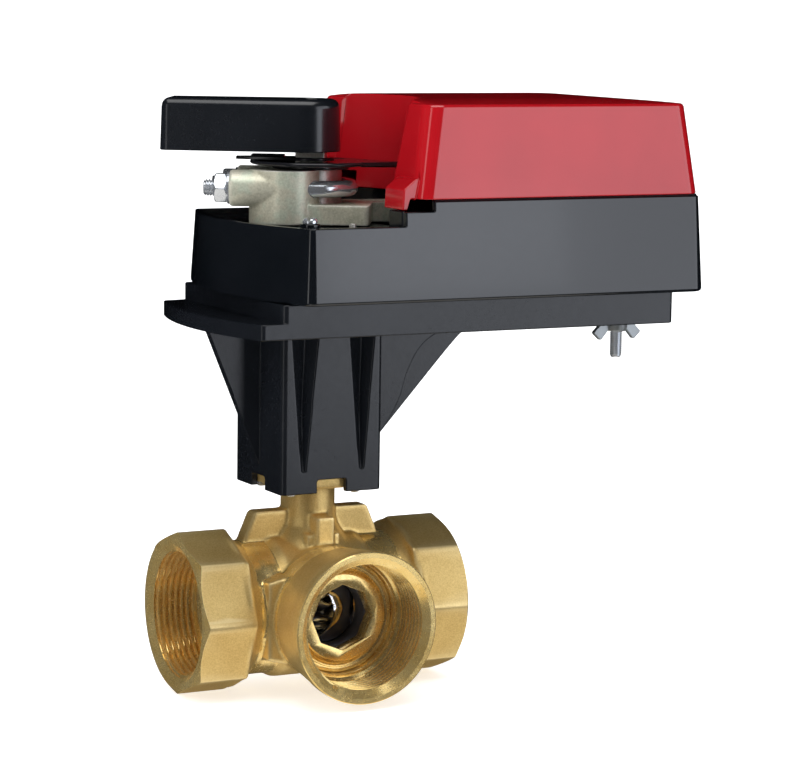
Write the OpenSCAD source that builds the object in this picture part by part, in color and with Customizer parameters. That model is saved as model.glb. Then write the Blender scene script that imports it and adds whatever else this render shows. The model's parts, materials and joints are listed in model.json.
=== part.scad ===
// Motorised three-way ball valve: threaded brass valve, bracket, and clamp-on rotary actuator.
// Millimetres, +Z up the stem. The run ports lie along X and the branch port faces -Y.
// The origin is on the branch port's axis, where its thread wall starts.

/* [Valve body] */
// Wall radius of the three threaded ports (G 1 1/2 core)
port_r = 22.4; // [22:0.1:22.6]
// Length of each port's thread wall
thread_len = 17; // [14:0.5:18]
// Distance from the ball's centre to each run port's mouth
run_half = 52.5; // [52:0.5:56]
// Distance from the ball's centre to the branch port's mouth
branch_face = 50; // [50:0.5:54]
// Radius to the corners of the octagonal run ends
octagon_r = 29.7; // [29.2:0.1:30.5]
// Outer radius of the branch port's mouth
branch_r = 27.5; // [27:0.1:28.5]
// Outer radius of the round barrel
barrel_r = 25.5; // [25:0.1:26.5]
// Radius of the neck under the top flange
neck_r = 9.9; // [9.5:0.1:11]
// Width of the square top flange
flange_w = 34.4; // [34:0.1:34.6]
// Pitch circle radius of the bracket screws
screw_circle_r = 18; // [17.8:0.1:18.2]

/* [Ball and stem] */
// Radius of the ball
ball_r = 20; // [19.8:0.1:20.2]
// Radius of the ball's two bores
ball_bore_r = 11; // [9:0.5:11.5]
// Radius of the stem
stem_r = 6; // [5.5:0.1:6.2]
// Distance across the corners of the retainers' key holes
key_hole_d = 24; // [20:0.5:25]

/* [Bracket] */
// Width of the square column
column_w = 40; // [40:0.5:42]
// Height of the column's lower end
column_z = 43.6; // [43:0.1:44]
// Underside of the top plate
plate_z = 102.4; // [102:0.2:103]
// Half width of the top plate
plate_half_w = 43.5; // [42:0.5:46]
// Right end of the top plate
plate_end_x = 128; // [128:0.5:131]

/* [Actuator housing] */
// Underside of the housing, on the bracket
case_z = 114.5; // [114.5:0.1:115]
// Height of the joint between the black housing and the red cover
joint_z = 150.2; // [149.5:0.1:151]
// Height of the rim round the clamp's deck
rim_z = 141; // [140.5:0.1:141.5]
// Height of the ledge beside the cover
ledge_z = 146; // [145:0.1:147]
// Height of the cover's upper edge
cover_z = 181.5; // [180:0.5:184]
// Half width of the housing at its underside
case_half_w = 51.4; // [50.5:0.1:52.5]
// Right end of the housing at its underside
case_end_x = 137; // [135:0.5:140]
// Wall thickness of the housing and the cover
wall = 2.6; // [2.2:0.1:3]

/* [Drive] */
// Radius of the drive shaft
shaft_r = 11; // [10.6:0.1:11.2]
// Width across the flats of the shaft's square end
shaft_square = 10.7; // [10:0.1:11.2]
// Direction in which the handle points at rest, from +X
handle_angle = 150; // [140:1:160]
// Reach of the handle from the shaft's axis
handle_reach = 53.4; // [45:0.2:56]
// Pitch circle module of the output gear
output_module = 1; // [0.9:0.05:1]

/* [Hidden] */
$fn = 72;
slip = 0.05;       // radial clearance of every running fit
through = 1;       // how far a cutting shape runs past the face that it opens

// Valve
mouth_chamfer = 2;                          // length of the chamfer in each port's mouth
chamfer_r = 25.2;                           // its radius at the mouth
cavity_r = ball_r + 0.6;                    // chamber round the ball
retainer_z = 24;                            // inner face of each retainer, from the ball's centre
retainer_t = 6;
seat_nose_z = 14.6;                         // inner end of each seat ring
seat_nose_r = 14.4;
seat_step_z = 19.6;
seat_r = 19;
seat_bore_r = 11.5;
octagon_len = 20;
barrel_half = 17;                           // half length of the round barrel between the waists
waist_r = 24.6;
waist_x = 27.5;                             // where each waist ends and widens to the octagon
shoulder_r = 9;                             // stem shoulder and its thrust washer
shoulder_z = 20.2;
washer_z = 22.4;
washer_t = 1.6;
flange_z = 44.5;
flange_top = 52.2;
screw_xy = screw_circle_r / sqrt(2);
screw_r = 2;
tang_w = 6;
tang_len = 17;
tang_z = 14.5;
stem_top = 64;
stem_square = 9;
sleeve_z = 56.6;                            // lower end of the sleeve that joins stem and shaft

// Bracket
column_half = column_w / 2;
column_inner = 15.5;
hollow_depth = 4.1;
web_t = 3.8;                                // web that sits on the valve's flange
plate_t = 5.6;
band_x = -31;                               // left end of the raised band under the housing
plate_arc_r = 136;                          // plan radius of the top plate's left end
plate_left_x = -46;
bush_r = 15;
notch_w = 11.5;
notch_top = 48.5;
base_screw_x = -22;
base_screw_y = 37;
stud_x = 120.7;
stud_y = -15;
stud_r = 2.4;

// Housing
draft = 2.2;                                // how far the housing's walls lean in up to the joint
case_arc_r = 122;                           // plan radius of the housing's left end
case_left_x = -36;
corner_r = 5.5;
step_x = 13.2;                              // where the rim steps up to the ledge
ledge_end_x = 24.5;                         // where the ledge steps up to the joint
cover_x = 18;                               // front left corner of the cover, which overhangs the ledge
cover_back_x = 21.5;                        // back left corner of the cover
cover_lean = 5;                             // how far the cover's left end leans in up to its edge
cover_end_x = 135;
cover_half_w = 49.3;
crown = 3;                                  // rise of the cover's top at its middle
bite_low_r = 32;                            // hollow in the cover's left end, round the clamp
bite_high_r = 38.4;
floor_z = case_z + wall;
deck_z = 139;
deck_t = 2.4;
well_r = 33.6;                              // wall round the deck under the cover
well_x = 22;                                // where that wall starts, clear of the bolts
cover_screw_y = 45.2;
cover_screw_x = [46, 127];
board_post = [[70, 37], [120, 37]];
board_z = 157;
gland_x = 105;
gland_z = 132;

// Gear train: motor pinion, first gear, second gear, output gear
pinion_teeth = 12;
wheel_teeth = 48;
output_teeth = 60;
motor_teeth = 32;
second_module = 0.8;
first_module = 0.6;
second_direction = 20;                      // direction of each axis from the one before it
first_direction = -10;
second_axis = rot2(output_module * (output_teeth + pinion_teeth) / 2, second_direction);
first_axis = second_axis + rot2(second_module * (wheel_teeth + pinion_teeth) / 2, first_direction);
motor_axis = first_axis + rot2(first_module * (wheel_teeth + motor_teeth) / 2, 0);
plate_post = [[30, -15, 1.5], [26, 34, 1.5], [95, -15, 3], [95, 34, 3]];  // x, y, radius
output_gear_z = 118;
plate_gear_z = 131;
plate_gear_t = 1.5;
axle_r = 2;

// Clamp, in the frame that turns with the handle: its +X runs along the handle
u_bolt_z = 152;
u_bolt_r = 3;
bend_r = shaft_r + u_bolt_r + 0.1;
boss_end = 27.5;
nut_t = 4.5;
clamp_z = 139.5;
clamp_top = 158.5;
stop_r = 30.5;                              // circle on which the stop pins stand
stop_angles = [-86.5, 34.5];
index_angle = 107.5;                        // direction of the taller pin beside the scale
pin_r = 1.25;
stop_top = 140.9;
index_top = 145;
deck_screw_at = [[-18.4, -38], [9, 40]];
deck_boss_h = [3, 0];                       // the front screw stands on a boss, above the rim
indicator_z = 160;
handle_z = 164.8;
handle_top = 183.5;
handle_hub_r = 13.7;
handle_hub_x = 3.2;                         // centre of the round hub, a little towards the tip
handle_bevel = 2.5;

function rot2(r, a) = [r * cos(a), r * sin(a)];

// Moves the ball's centre from the modelling origin to its place behind the branch port.
module valve_frame() { translate([0, branch_face - mouth_chamfer, 0]) children(); }

// The parts that turn with the ball are drawn with the handle along +X.
module turning() { valve_frame() rotate([0, 0, handle_angle]) children(); }

// Puts a shape drawn along +Z on a port: "left", "right" or "branch".
module on_port(side) {
    if (side == "left") rotate([0, -90, 0]) children();
    if (side == "right") rotate([0, 90, 0]) children();
    if (side == "branch") rotate([90, 0, 0]) children();
}

// Box with round vertical edges, centred in plan, standing on z = 0.
module rounded_block(size, r) {
    for (x = [-1, 1], y = [-1, 1])
        translate([x * (size[0] / 2 - r), y * (size[1] / 2 - r), 0]) cylinder(r = r, h = size[2], $fn = 32);
    translate([-size[0] / 2 + r, -size[1] / 2, 0]) cube([size[0] - 2 * r, size[1], size[2]]);
    translate([-size[0] / 2, -size[1] / 2 + r, 0]) cube([size[0], size[1] - 2 * r, size[2]]);
}

module ring(outer, inner, h) {
    difference() {
        cylinder(r = outer, h = h);
        translate([0, 0, -through]) cylinder(r = inner, h = h + 2 * through);
    }
}

module four_corners(x, y) {
    for (i = [-1, 1], j = [-1, 1]) translate([i * x, j * y, 0]) children();
}

// Pan-head screw standing on its tip at z = 0, with its head on top.
module screw(r, length, head_r, head_h, slot = true) {
    difference() {
        union() {
            cylinder(r = r, h = length, $fn = 32);
            translate([0, 0, length]) cylinder(r = head_r, h = head_h, $fn = 32);
        }
        if (slot) translate([-head_r - 1, -0.5, length + head_h * 0.45]) cube([2 * head_r + 2, 1, head_h]);
    }
}

// Involute gear. Each flank runs from the root through the base and pitch circles to the tip.
function inv(a) = tan(a) * 180 / PI - a;
function flank(base, r) = r <= base ? 0 : inv(acos(base / r));
module gear_plan(teeth, m) {
    pitch = teeth * m / 2;
    base = pitch * cos(20);
    play = 0.1 * m / pitch * 180 / PI;
    half = 90 / teeth + inv(20) - play;
    root = pitch - 1.2 * m;
    tip = pitch + 0.8 * m;
    radii = [root, max(base, root + 0.1 * m), pitch - 0.1 * m, pitch + 0.4 * m, tip];
    side = [for (r = radii) half - flank(base, r)];
    tooth = concat([for (i = [0:4]) [radii[i], -side[i]]], [for (i = [4:-1:0]) [radii[i], side[i]]]);
    polygon([for (t = [0:teeth - 1], p = tooth) rot2(p[0], t * 360 / teeth + p[1])]);
}

// ---------------------------------------------------------------- valve

module port_thread(mouth) {
    wall_end = mouth - mouth_chamfer - thread_len;
    translate([0, 0, wall_end]) cylinder(r = port_r, h = thread_len + mouth_chamfer);
    translate([0, 0, mouth - mouth_chamfer]) cylinder(r1 = port_r, r2 = chamfer_r, h = mouth_chamfer);
    translate([0, 0, mouth]) cylinder(r = chamfer_r, h = through);
    translate([0, 0, retainer_z + retainer_t]) cylinder(r = cavity_r, h = wall_end - retainer_z - retainer_t + 0.5);
}

// One octagonal run end and the cone that joins it to the barrel.
module run_end() {
    translate([0, 0, run_half - octagon_len]) cylinder(r = octagon_r, h = octagon_len, $fn = 8);
    cylinder(r = waist_r, h = waist_x + 0.1);
    translate([0, 0, waist_x]) cylinder(r1 = waist_r, r2 = octagon_r * cos(22.5),
        h = run_half - octagon_len - waist_x);
}

module neck() {
    translate([0, 0, 16]) cylinder(r1 = 16, r2 = neck_r, h = 16);
    translate([0, 0, 30]) cylinder(r = neck_r, h = flange_z - 30);
    translate([0, 0, flange_z]) rounded_block([flange_w, flange_w, flange_top - flange_z], 2);
    // Cast lugs to each side, and the small ones at the front and back
    for (s = [0, 1]) mirror([s, 0, 0]) rotate([90, 0, 0]) translate([0, 0, -2.5])
        linear_extrude(5) polygon([[0, 18], [27, 18], [26.6, 25.6], [22.6, 34.6], [0, 34.6]]);
    for (s = [-1, 1]) translate([-3, s * 11 - 2.5, 20]) cube([6, 5, 16.6]);
}

module valve_body() {
    color("darkgoldenrod") valve_frame() difference() {
        union() {
            on_port("left") run_end();
            on_port("right") run_end();
            rotate([0, 90, 0]) cylinder(r = barrel_r, h = 2 * barrel_half, center = true);
            on_port("branch") cylinder(r1 = barrel_r - 0.5, r2 = branch_r, h = branch_face);
            neck();
        }
        rotate([0, 90, 0]) cylinder(r = cavity_r, h = 2 * (retainer_z + retainer_t) + 0.1, center = true);
        on_port("branch") cylinder(r = cavity_r, h = retainer_z + retainer_t + 0.05);
        on_port("left") port_thread(run_half);
        on_port("right") port_thread(run_half);
        on_port("branch") port_thread(branch_face);
        cylinder(r = shoulder_r + slip, h = washer_z + washer_t);
        cylinder(r = stem_r + slip, h = flange_top + through);
        four_corners(screw_xy, screw_xy) translate([0, 0, flange_z - through])
            cylinder(r = screw_r + slip, h = flange_top - flange_z + 2 * through);
    }
}

module retainer(side) {
    color("goldenrod") valve_frame() on_port(side) translate([0, 0, retainer_z]) difference() {
        union() {
            cylinder(r = cavity_r - slip, h = retainer_t - 2);
            translate([0, 0, retainer_t - 2]) cylinder(r1 = 17.5, r2 = 15.2, h = 2);
        }
        translate([0, 0, -through]) cylinder(d = key_hole_d, h = retainer_t + 2 * through, $fn = 8);
    }
}
module left_retainer() { retainer("left"); }
module right_retainer() { retainer("right"); }
module branch_retainer() { retainer("branch"); }

// Seat ring: a nose that bears on the ball, and a wider foot held by the retainer.
module seat(side) {
    color("dimgray") valve_frame() difference() {
        on_port(side) difference() {
            union() {
                translate([0, 0, seat_nose_z]) cylinder(r = seat_nose_r, h = retainer_z - seat_nose_z);
                translate([0, 0, seat_step_z]) cylinder(r = seat_r, h = retainer_z - seat_step_z);
            }
            cylinder(r = seat_bore_r, h = retainer_z + through);
        }
        sphere(r = ball_r + slip);
    }
}
module left_seat() { seat("left"); }
module right_seat() { seat("right"); }
module branch_seat() { seat("branch"); }

// The ball's L-shaped passage opens 30 degrees either side of the middle of the travel.
module ball() {
    color("silver") turning() difference() {
        sphere(r = ball_r);
        for (a = [90, 180]) rotate([0, 0, a]) rotate([0, 90, 0]) cylinder(r = ball_bore_r, h = ball_r + through);
        sphere(r = ball_bore_r);
        translate([-tang_len, -tang_w / 2 - slip, tang_z]) cube([2 * tang_len, tang_w + 2 * slip, 10]);
    }
}

module stem() {
    color("khaki") turning() difference() {
        union() {
            intersection() {
                translate([-tang_len / 2, -tang_w / 2, tang_z + 0.2]) cube([tang_len, tang_w, shoulder_z - tang_z]);
                cylinder(r = shoulder_r, h = 40);
            }
            translate([0, 0, shoulder_z]) cylinder(r = shoulder_r, h = washer_z - shoulder_z);
            translate([0, 0, washer_z]) cylinder(r = stem_r, h = flange_top - washer_z + 0.4);
            translate([0, 0, flange_top]) intersection() {
                rounded_block([stem_square, stem_square, stem_top - flange_top], 1);
                cylinder(r = stem_r, h = 40);
            }
        }
        for (z = [28, 34]) translate([0, 0, z]) ring(stem_r + through, stem_r - 1.5, 1.8);
    }
}

module stem_o_rings() {
    color("black") turning() for (z = [28.9, 34.9]) translate([0, 0, z])
        rotate_extrude() translate([stem_r - 0.73, 0]) circle(r = 0.75, $fn = 24);
}

module thrust_washer() {
    color("white") turning() translate([0, 0, washer_z]) ring(shoulder_r - slip, stem_r + slip, washer_t - slip);
}

// ---------------------------------------------------------------- bracket

// V-shaped hollow in a column face, from the top plate down to its apex.
module v_hollow(apex_x, top_left, top_right) {
    translate([0, -column_half + hollow_depth, 0]) rotate([90, 0, 0]) linear_extrude(hollow_depth + through)
        polygon([[apex_x - 0.8, 51.8], [apex_x + 0.8, 51.8], [top_right, plate_z], [top_left, plate_z]]);
}

module column() {
    difference() {
        translate([0, 0, column_z]) rounded_block([column_w, column_w, plate_z - column_z + 1], 2);
        translate([0, 0, column_z - through]) rounded_block([flange_w + 0.3, flange_w + 0.3,
            flange_top - column_z + through], 2);
        translate([0, 0, flange_top + web_t])
            rounded_block([2 * column_inner, 2 * column_inner, plate_z - flange_top - web_t], 2);
        cylinder(r = 8, h = 90);
        four_corners(screw_xy, screw_xy) cylinder(r = screw_r + 0.2, h = 90);
        for (a = [0:90:270]) rotate([0, 0, a]) translate([-notch_w / 2, -column_half - 1, column_z - 1])
            cube([notch_w, 5, notch_top - column_z + 1]);
        for (a = [0, 180]) rotate([0, 0, a]) {
            v_hollow(-12, -17, -6);
            v_hollow(12, 6, 17);
        }
    }
}

// Ribs between the column and the top plate: a straight one on the left, a swept one on the right.
module gussets() {
    rotate([90, 0, 0]) translate([0, 0, -1.5]) linear_extrude(3) {
        polygon([[-19, 50.4], [-20, 52.7], [-41.3, plate_z + 1], [-19, plate_z + 1]]);
        polygon([[19, 50.1], [58, 93.4], [61, 95.9], [64.5, 98.4], [69, 100.8], [75, plate_z + 1],
            [19, plate_z + 1]]);
    }
    rotate([90, 0, 0]) translate([0, 0, -7]) linear_extrude(14)
        polygon([[19, 55], [28, 65], [33.5, 74.5], [36.5, 84], [40, 91], [45, 96], [52, 99.5],
            [60, plate_z + 1], [19, plate_z + 1]]);
}

module top_plate() {
    translate([0, 0, plate_z]) linear_extrude(plate_t) intersection() {
        translate([-60, -plate_half_w]) square([60 + plate_end_x, 2 * plate_half_w]);
        translate([plate_left_x + plate_arc_r, 0]) circle(r = plate_arc_r, $fn = 240);
    }
    translate([(band_x + plate_end_x) / 2, 0, plate_z + plate_t - 0.5])
        rounded_block([plate_end_x - band_x, 2 * plate_half_w, case_z - plate_z - plate_t + 0.5], 2);
}

module mounting_bracket() {
    color("#22252b") valve_frame() difference() {
        union() {
            column();
            gussets();
            top_plate();
        }
        translate([0, 0, plate_z - through]) cylinder(r = bush_r, h = case_z - plate_z + 2 * through);
        translate([stud_x, stud_y, plate_z - through]) cylinder(r = stud_r + 0.3, h = 20);
        for (s = [-1, 1]) translate([base_screw_x, s * base_screw_y, case_z - 8]) cylinder(r = 1.6, h = 10);
    }
}

module bracket_screws() {
    color("silver") valve_frame() four_corners(screw_xy, screw_xy) translate([0, 0, 42])
        screw(screw_r, flange_top + web_t - 42, 2.7, 3, false);
}

module coupling_sleeve() {
    color("slategray") turning() difference() {
        translate([0, 0, sleeve_z]) cylinder(r = 14, h = 85.2 - sleeve_z);
        translate([0, 0, 53]) rounded_block([stem_square + 0.1, stem_square + 0.1, 13], 0.9);
        translate([0, 0, 68]) cylinder(r = shaft_r + 0.02, h = 20);
        translate([0, 0, 76]) rotate([90, 0, 0]) cylinder(r = 2, h = 40, center = true);
    }
}

module coupling_pin() {
    color("silver") turning() translate([0, 0, 76]) rotate([90, 0, 0]) cylinder(r = 1.98, h = 27, center = true);
}

module drive_shaft() {
    color("gainsboro") turning() difference() {
        union() {
            translate([0, 0, 68.5]) cylinder(r = shaft_r, h = clamp_top + 0.5 - 68.5);
            translate([0, 0, clamp_top]) rounded_block([shaft_square, shaft_square, 14], 0.8);
        }
        translate([0, 0, 76]) rotate([90, 0, 0]) cylinder(r = 2, h = 40, center = true);
        translate([0, 0, 100.8]) ring(shaft_r + through, shaft_r - 1.2, 1.3);
        translate([shaft_r - 2, -2, output_gear_z - 0.1]) cube([4, 4, 6.2]);
        translate([0, 0, 165]) cylinder(r = 2, h = 10);
    }
}

module retaining_ring() {
    color("silver") turning() translate([0, 0, 100.85]) difference() {
        ring(13.4, shaft_r - 1.15, 1.2);
        translate([0, -3, -through]) cube([20, 6, 4]);
    }
}

module lower_bush() {
    color("peru") valve_frame() translate([0, 0, plate_z]) ring(bush_r, shaft_r + slip, floor_z - plate_z);
}

module upper_bush() {
    color("peru") valve_frame() translate([0, 0, deck_z - deck_t - 2]) ring(bush_r, shaft_r + slip, deck_t + 2);
}

// ---------------------------------------------------------------- housing

// Plan of the housing, drawn in from its foot outline by inset.
module case_plan(inset) {
    offset(r = corner_r, $fn = 32) offset(delta = -corner_r - inset) intersection() {
        translate([-60, -case_half_w]) square([60 + case_end_x, 2 * case_half_w]);
        translate([case_left_x + case_arc_r, 0]) circle(r = case_arc_r, $fn = 180);
    }
}

module slab(z) { translate([0, 0, z]) linear_extrude(0.01) children(); }

module base_shell() {
    difference() {
        hull() {
            slab(case_z) case_plan(0.8);
            slab(case_z + 1) case_plan(0);
            slab(joint_z - 0.01) case_plan(draft);
        }
        hull() {
            slab(floor_z) case_plan(wall);
            slab(joint_z + 0.1) case_plan(draft + wall);
        }
        translate([-60, -60, rim_z]) cube([60 + step_x, 120, 20]);
        translate([-60, -60, ledge_z]) cube([60 + ledge_end_x, 120, 20]);
    }
}

module housing_base() {
    color("#1d2026") valve_frame() difference() {
        union() {
            base_shell();
            for (x = cover_screw_x, s = [-1, 1]) translate([x, s * cover_screw_y, floor_z - 0.1])
                cylinder(r = 2.9, h = joint_z - floor_z + 0.1);
            for (p = board_post, s = [-1, 1]) translate([p[0], s * p[1], floor_z - 0.1])
                cylinder(r = 3.4, h = board_z - floor_z + 0.1);
        }
        translate([0, 0, case_z - through]) cylinder(r = bush_r, h = 10);
        for (x = cover_screw_x, s = [-1, 1]) translate([x, s * cover_screw_y, case_z - through]) {
            cylinder(r = 1.6, h = 50);
            cylinder(r = 2.8, h = 3);
        }
        for (p = board_post, s = [-1, 1]) translate([p[0], s * p[1], board_z - 12]) cylinder(r = 1.3, h = 20);
        for (s = [-1, 1]) translate([base_screw_x, s * base_screw_y, case_z - through]) cylinder(r = 2, h = 10);
        translate([stud_x, stud_y, case_z - through]) cylinder(r = stud_r + 0.1, h = 10);
        translate([gland_x, 40, gland_z]) rotate([-90, 0, 0]) cylinder(r = 8, h = 30);
    }
}

module base_screws() {
    color("silver") valve_frame() for (s = [-1, 1]) translate([base_screw_x, s * base_screw_y, case_z - 7])
        screw(1.55, floor_z - case_z + 7, 3.2, 2.4);
}

// Deck under the clamp: a floor inside the rim, ledges beside the cover and a wall round the well.
module housing_deck() {
    color("#1d2026") valve_frame() difference() {
        union() {
            difference() {
                translate([0, 0, deck_z - deck_t]) linear_extrude(deck_t) case_plan(draft + wall + 0.1);
                translate([ledge_end_x, -60, 100]) cube([200, 120, 60]);
            }
            intersection() {
                translate([0, 0, deck_z - deck_t]) cylinder(r = well_r + 2.2, h = joint_z - deck_z + deck_t);
                translate([well_x, -60, 100]) cube([60, 120, 60]);
            }
            for (s = [-1, 1]) translate([step_x + 5.4, s * 41.1, deck_z - 0.1])
                rounded_block([10.8, 11, ledge_z - deck_z + 0.1], 1);
            for (i = [0, 1]) translate([deck_screw_at[i][0], deck_screw_at[i][1], deck_z - 0.1])
                cylinder(r = 3.6, h = deck_boss_h[i] + 0.1);
        }
        translate([0, 0, deck_z]) cylinder(r = well_r, h = 20);
        translate([0, 0, deck_z - deck_t - through]) cylinder(r = bush_r, h = deck_t + 2 * through);
        for (p = deck_screw_at) translate([p[0], p[1], deck_z - deck_t - through]) cylinder(r = 1.6, h = 10);
        for (a = concat(stop_angles, index_angle)) rotate([0, 0, a])
            translate([stop_r, 0, deck_z - deck_t - through]) cylinder(r = pin_r + slip, h = 10);
    }
}

module deck_screws() {
    color("silver") valve_frame() for (i = [0, 1])
        translate([deck_screw_at[i][0], deck_screw_at[i][1], deck_z + deck_boss_h[i] - 8]) screw(1.55, 8, 2.7, 2);
}

// Two end stops for the clamp's arm, and an index pin beside the scale.
module stop_pins() {
    color("silver") valve_frame() {
        for (a = stop_angles) rotate([0, 0, a]) translate([stop_r, 0, deck_z - deck_t])
            cylinder(r = pin_r, h = stop_top - deck_z + deck_t);
        rotate([0, 0, index_angle]) translate([stop_r, 0, deck_z - deck_t])
            cylinder(r = pin_r, h = index_top - deck_z + deck_t);
    }
}

module cover_plan(left_front, left_back, right, half_w, inset) {
    offset(r = corner_r, $fn = 32) offset(delta = -corner_r - inset)
        polygon([[left_front, -half_w], [right, -half_w], [right, half_w], [left_back, half_w]]);
}

// Solid of the cover, drawn in from its outer faces by inset.
module cover_form(inset) {
    hull() {
        slab(joint_z - (inset > 0 ? 1 : 0)) cover_plan(cover_x, cover_back_x, cover_end_x, cover_half_w, inset);
        slab(cover_z - 1.5 - inset) cover_plan(cover_x + cover_lean, cover_back_x + cover_lean,
            cover_end_x - 3.6, cover_half_w - 2.8, inset);
        slab(cover_z - inset) cover_plan(cover_x + cover_lean + 1.4, cover_back_x + cover_lean + 1.4,
            cover_end_x - 5.2, cover_half_w - 4.4, inset);
        slab(cover_z + crown - inset) cover_plan(cover_x + cover_lean + 3.5, cover_back_x + cover_lean + 3.5,
            cover_end_x - 28, cover_half_w - 24, inset);
    }
}

module bite(grow) {
    translate([0, 0, joint_z - 2]) cylinder(r1 = bite_low_r - 0.4 + grow, r2 = bite_high_r + 1 + grow, h = 40);
}

module cover() {
    color("firebrick") valve_frame() difference() {
        union() {
            difference() {
                cover_form(0);
                bite(0);
                difference() {
                    cover_form(2.3);
                    bite(2.3);
                }
            }
            // Nub on the left end that stands over the ledge
            translate([0, -31, 0]) rotate([90, 0, 0]) linear_extrude(14.5) polygon([[13.8, ledge_z + 0.4],
                [15.6, ledge_z + 0.4], [16.6, joint_z], [20, joint_z], [20, 157], [18.4, 157], [14.2, 153.6]]);
            intersection() {
                for (x = cover_screw_x, s = [-1, 1]) translate([x, s * cover_screw_y, joint_z])
                    cylinder(r = 3.2, h = 20);
                cover_form(0.5);
            }
        }
        for (x = cover_screw_x, s = [-1, 1]) translate([x, s * cover_screw_y, joint_z - through])
            cylinder(r = 1.6, h = 14);
        // Gap in the hollow end's wall
        rotate([0, 0, 42]) translate([28, -4.6, joint_z - through]) cube([12, 9.2, 7]);
    }
}

module cover_screws() {
    color("silver") valve_frame() for (x = cover_screw_x, s = [-1, 1]) translate([x, s * cover_screw_y, 162])
        mirror([0, 0, 1]) screw(1.5, 162 - case_z - 2, 2.6, 1.8);
}

// ---------------------------------------------------------------- gear train and motor

module output_gear() {
    color("ivory") turning() difference() {
        union() {
            translate([0, 0, output_gear_z]) linear_extrude(6) gear_plan(output_teeth, output_module);
            translate([0, 0, output_gear_z]) cylinder(r = 14.5, h = 8);
        }
        translate([0, 0, output_gear_z - through]) cylinder(r = shaft_r + 0.02, h = 12);
        translate([shaft_r - 2, -2, output_gear_z - through]) cube([4, 4, 7]);
    }
}

module gear_key() {
    color("silver") turning() translate([shaft_r - 1.95, -1.95, output_gear_z]) cube([3.9, 3.9, 5.9]);
}

// Cam with a low and a high sector, which works the two limit switches.
module switch_cam() {
    color("white") turning() translate([0, 0, output_gear_z + 8.1]) difference() {
        union() {
            cylinder(r = 12.8, h = 4);
            intersection() {
                cylinder(r = 14.4, h = 4);
                for (a = [20, 200]) rotate([0, 0, a]) cube([20, 20, 4]);
            }
        }
        translate([0, 0, -through]) cylinder(r = shaft_r + 0.02, h = 8);
    }
}

module limit_switches() {
    color("black") valve_frame() for (s = [-1, 1]) translate([-6.5, s * 21 - 5, 126.5]) {
        cube([13, 10, deck_z - deck_t - 126.5]);
        translate([4, s > 0 ? -1 : 10, 1.5]) cube([2, 1, 2]);
    }
}

module gear_plate() {
    color("lightsteelblue") valve_frame() translate([0, 0, plate_gear_z]) difference() {
        translate([61, 9, 0]) rounded_block([78, 56, plate_gear_t], 4);
        translate([0, 0, -through]) cylinder(r = 24, h = 5);
        for (p = [second_axis, first_axis]) translate([p[0], p[1], -through]) cylinder(r = axle_r + 0.02, h = 5);
        translate([motor_axis[0], motor_axis[1], -through]) cylinder(r = 5, h = 5);
        for (p = plate_post) translate([p[0], p[1], -through]) cylinder(r = 1.6, h = 5);
        translate([board_post[0][0], board_post[0][1], -through]) cylinder(r = 4.2, h = 5);
    }
}

module plate_posts() {
    color("silver") valve_frame() for (p = plate_post)
        translate([p[0], p[1], floor_z]) {
            cylinder(r = p[2], h = plate_gear_z - floor_z, $fn = 32);
            cylinder(r = 1.5, h = plate_gear_z - floor_z + 3, $fn = 32);
        }
}

module gear_axles() {
    color("silver") valve_frame() for (p = [second_axis, first_axis]) translate([p[0], p[1], floor_z])
        cylinder(r = axle_r, h = plate_gear_z + plate_gear_t - floor_z);
}

// A wheel and a pinion on one axle, each turned so that it is in mesh with its neighbour.
module compound_gear(axis, wheel_m, wheel_z, wheel_angle, pinion_m, pinion_z, pinion_angle) {
    valve_frame() translate([axis[0], axis[1], 0]) difference() {
        union() {
            translate([0, 0, wheel_z[0]]) rotate([0, 0, wheel_angle])
                linear_extrude(wheel_z[1] - wheel_z[0]) gear_plan(wheel_teeth, wheel_m);
            translate([0, 0, pinion_z[0]]) rotate([0, 0, pinion_angle])
                linear_extrude(pinion_z[1] - pinion_z[0]) gear_plan(pinion_teeth, pinion_m);
        }
        translate([0, 0, 100]) cylinder(r = axle_r + slip, h = 60);
    }
}

// Angle of a pinion that is in mesh with a wheel. The wheel has a tooth at wheel_angle, and the pinion
// lies from it in the given direction.
function meshed(wheel_angle, direction, teeth, pinion = pinion_teeth) =
    direction + 180 + 180 / pinion + (direction - wheel_angle) * teeth / pinion;

module second_gear() {
    color("ivory") compound_gear(second_axis, second_module, [125, 129.5], first_direction,
        output_module, [floor_z + 0.4, 125.2], meshed(handle_angle, second_direction, output_teeth));
}

module first_gear() {
    color("ivory") compound_gear(first_axis, first_module, [118.4, 121.8], 0,
        second_module, [121.6, 130.4], meshed(first_direction, first_direction, wheel_teeth));
}

module motor() {
    color("silver") valve_frame() translate([motor_axis[0], motor_axis[1], plate_gear_z + plate_gear_t])
        difference() {
            union() {
                cylinder(r = 20, h = 19);
                for (a = [90, 270]) rotate([0, 0, a]) translate([0, -4, 0]) cube([24, 8, 1.5]);
            }
            translate([0, 0, -through]) cylinder(r = 1.5 + slip, h = 8);
            for (s = [-1, 1]) translate([0, s * 21.8, -through]) cylinder(r = 1.2, h = 5);
        }
}

module motor_screws() {
    color("dimgray") valve_frame() for (s = [-1, 1])
        translate([motor_axis[0], motor_axis[1] + s * 21.8, plate_gear_z + plate_gear_t + 0.02])
            screw(1.15, 1.5, 1.6, 1.4);
}

module motor_pinion() {
    color("peru") valve_frame() translate([motor_axis[0], motor_axis[1], 0]) {
        translate([0, 0, 118.2]) rotate([0, 0, meshed(0, 0, wheel_teeth, motor_teeth)]) linear_extrude(5)
            gear_plan(motor_teeth, first_module);
        translate([0, 0, 118.2]) cylinder(r = 1.5, h = 18);
    }
}

// ---------------------------------------------------------------- electrics

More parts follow.
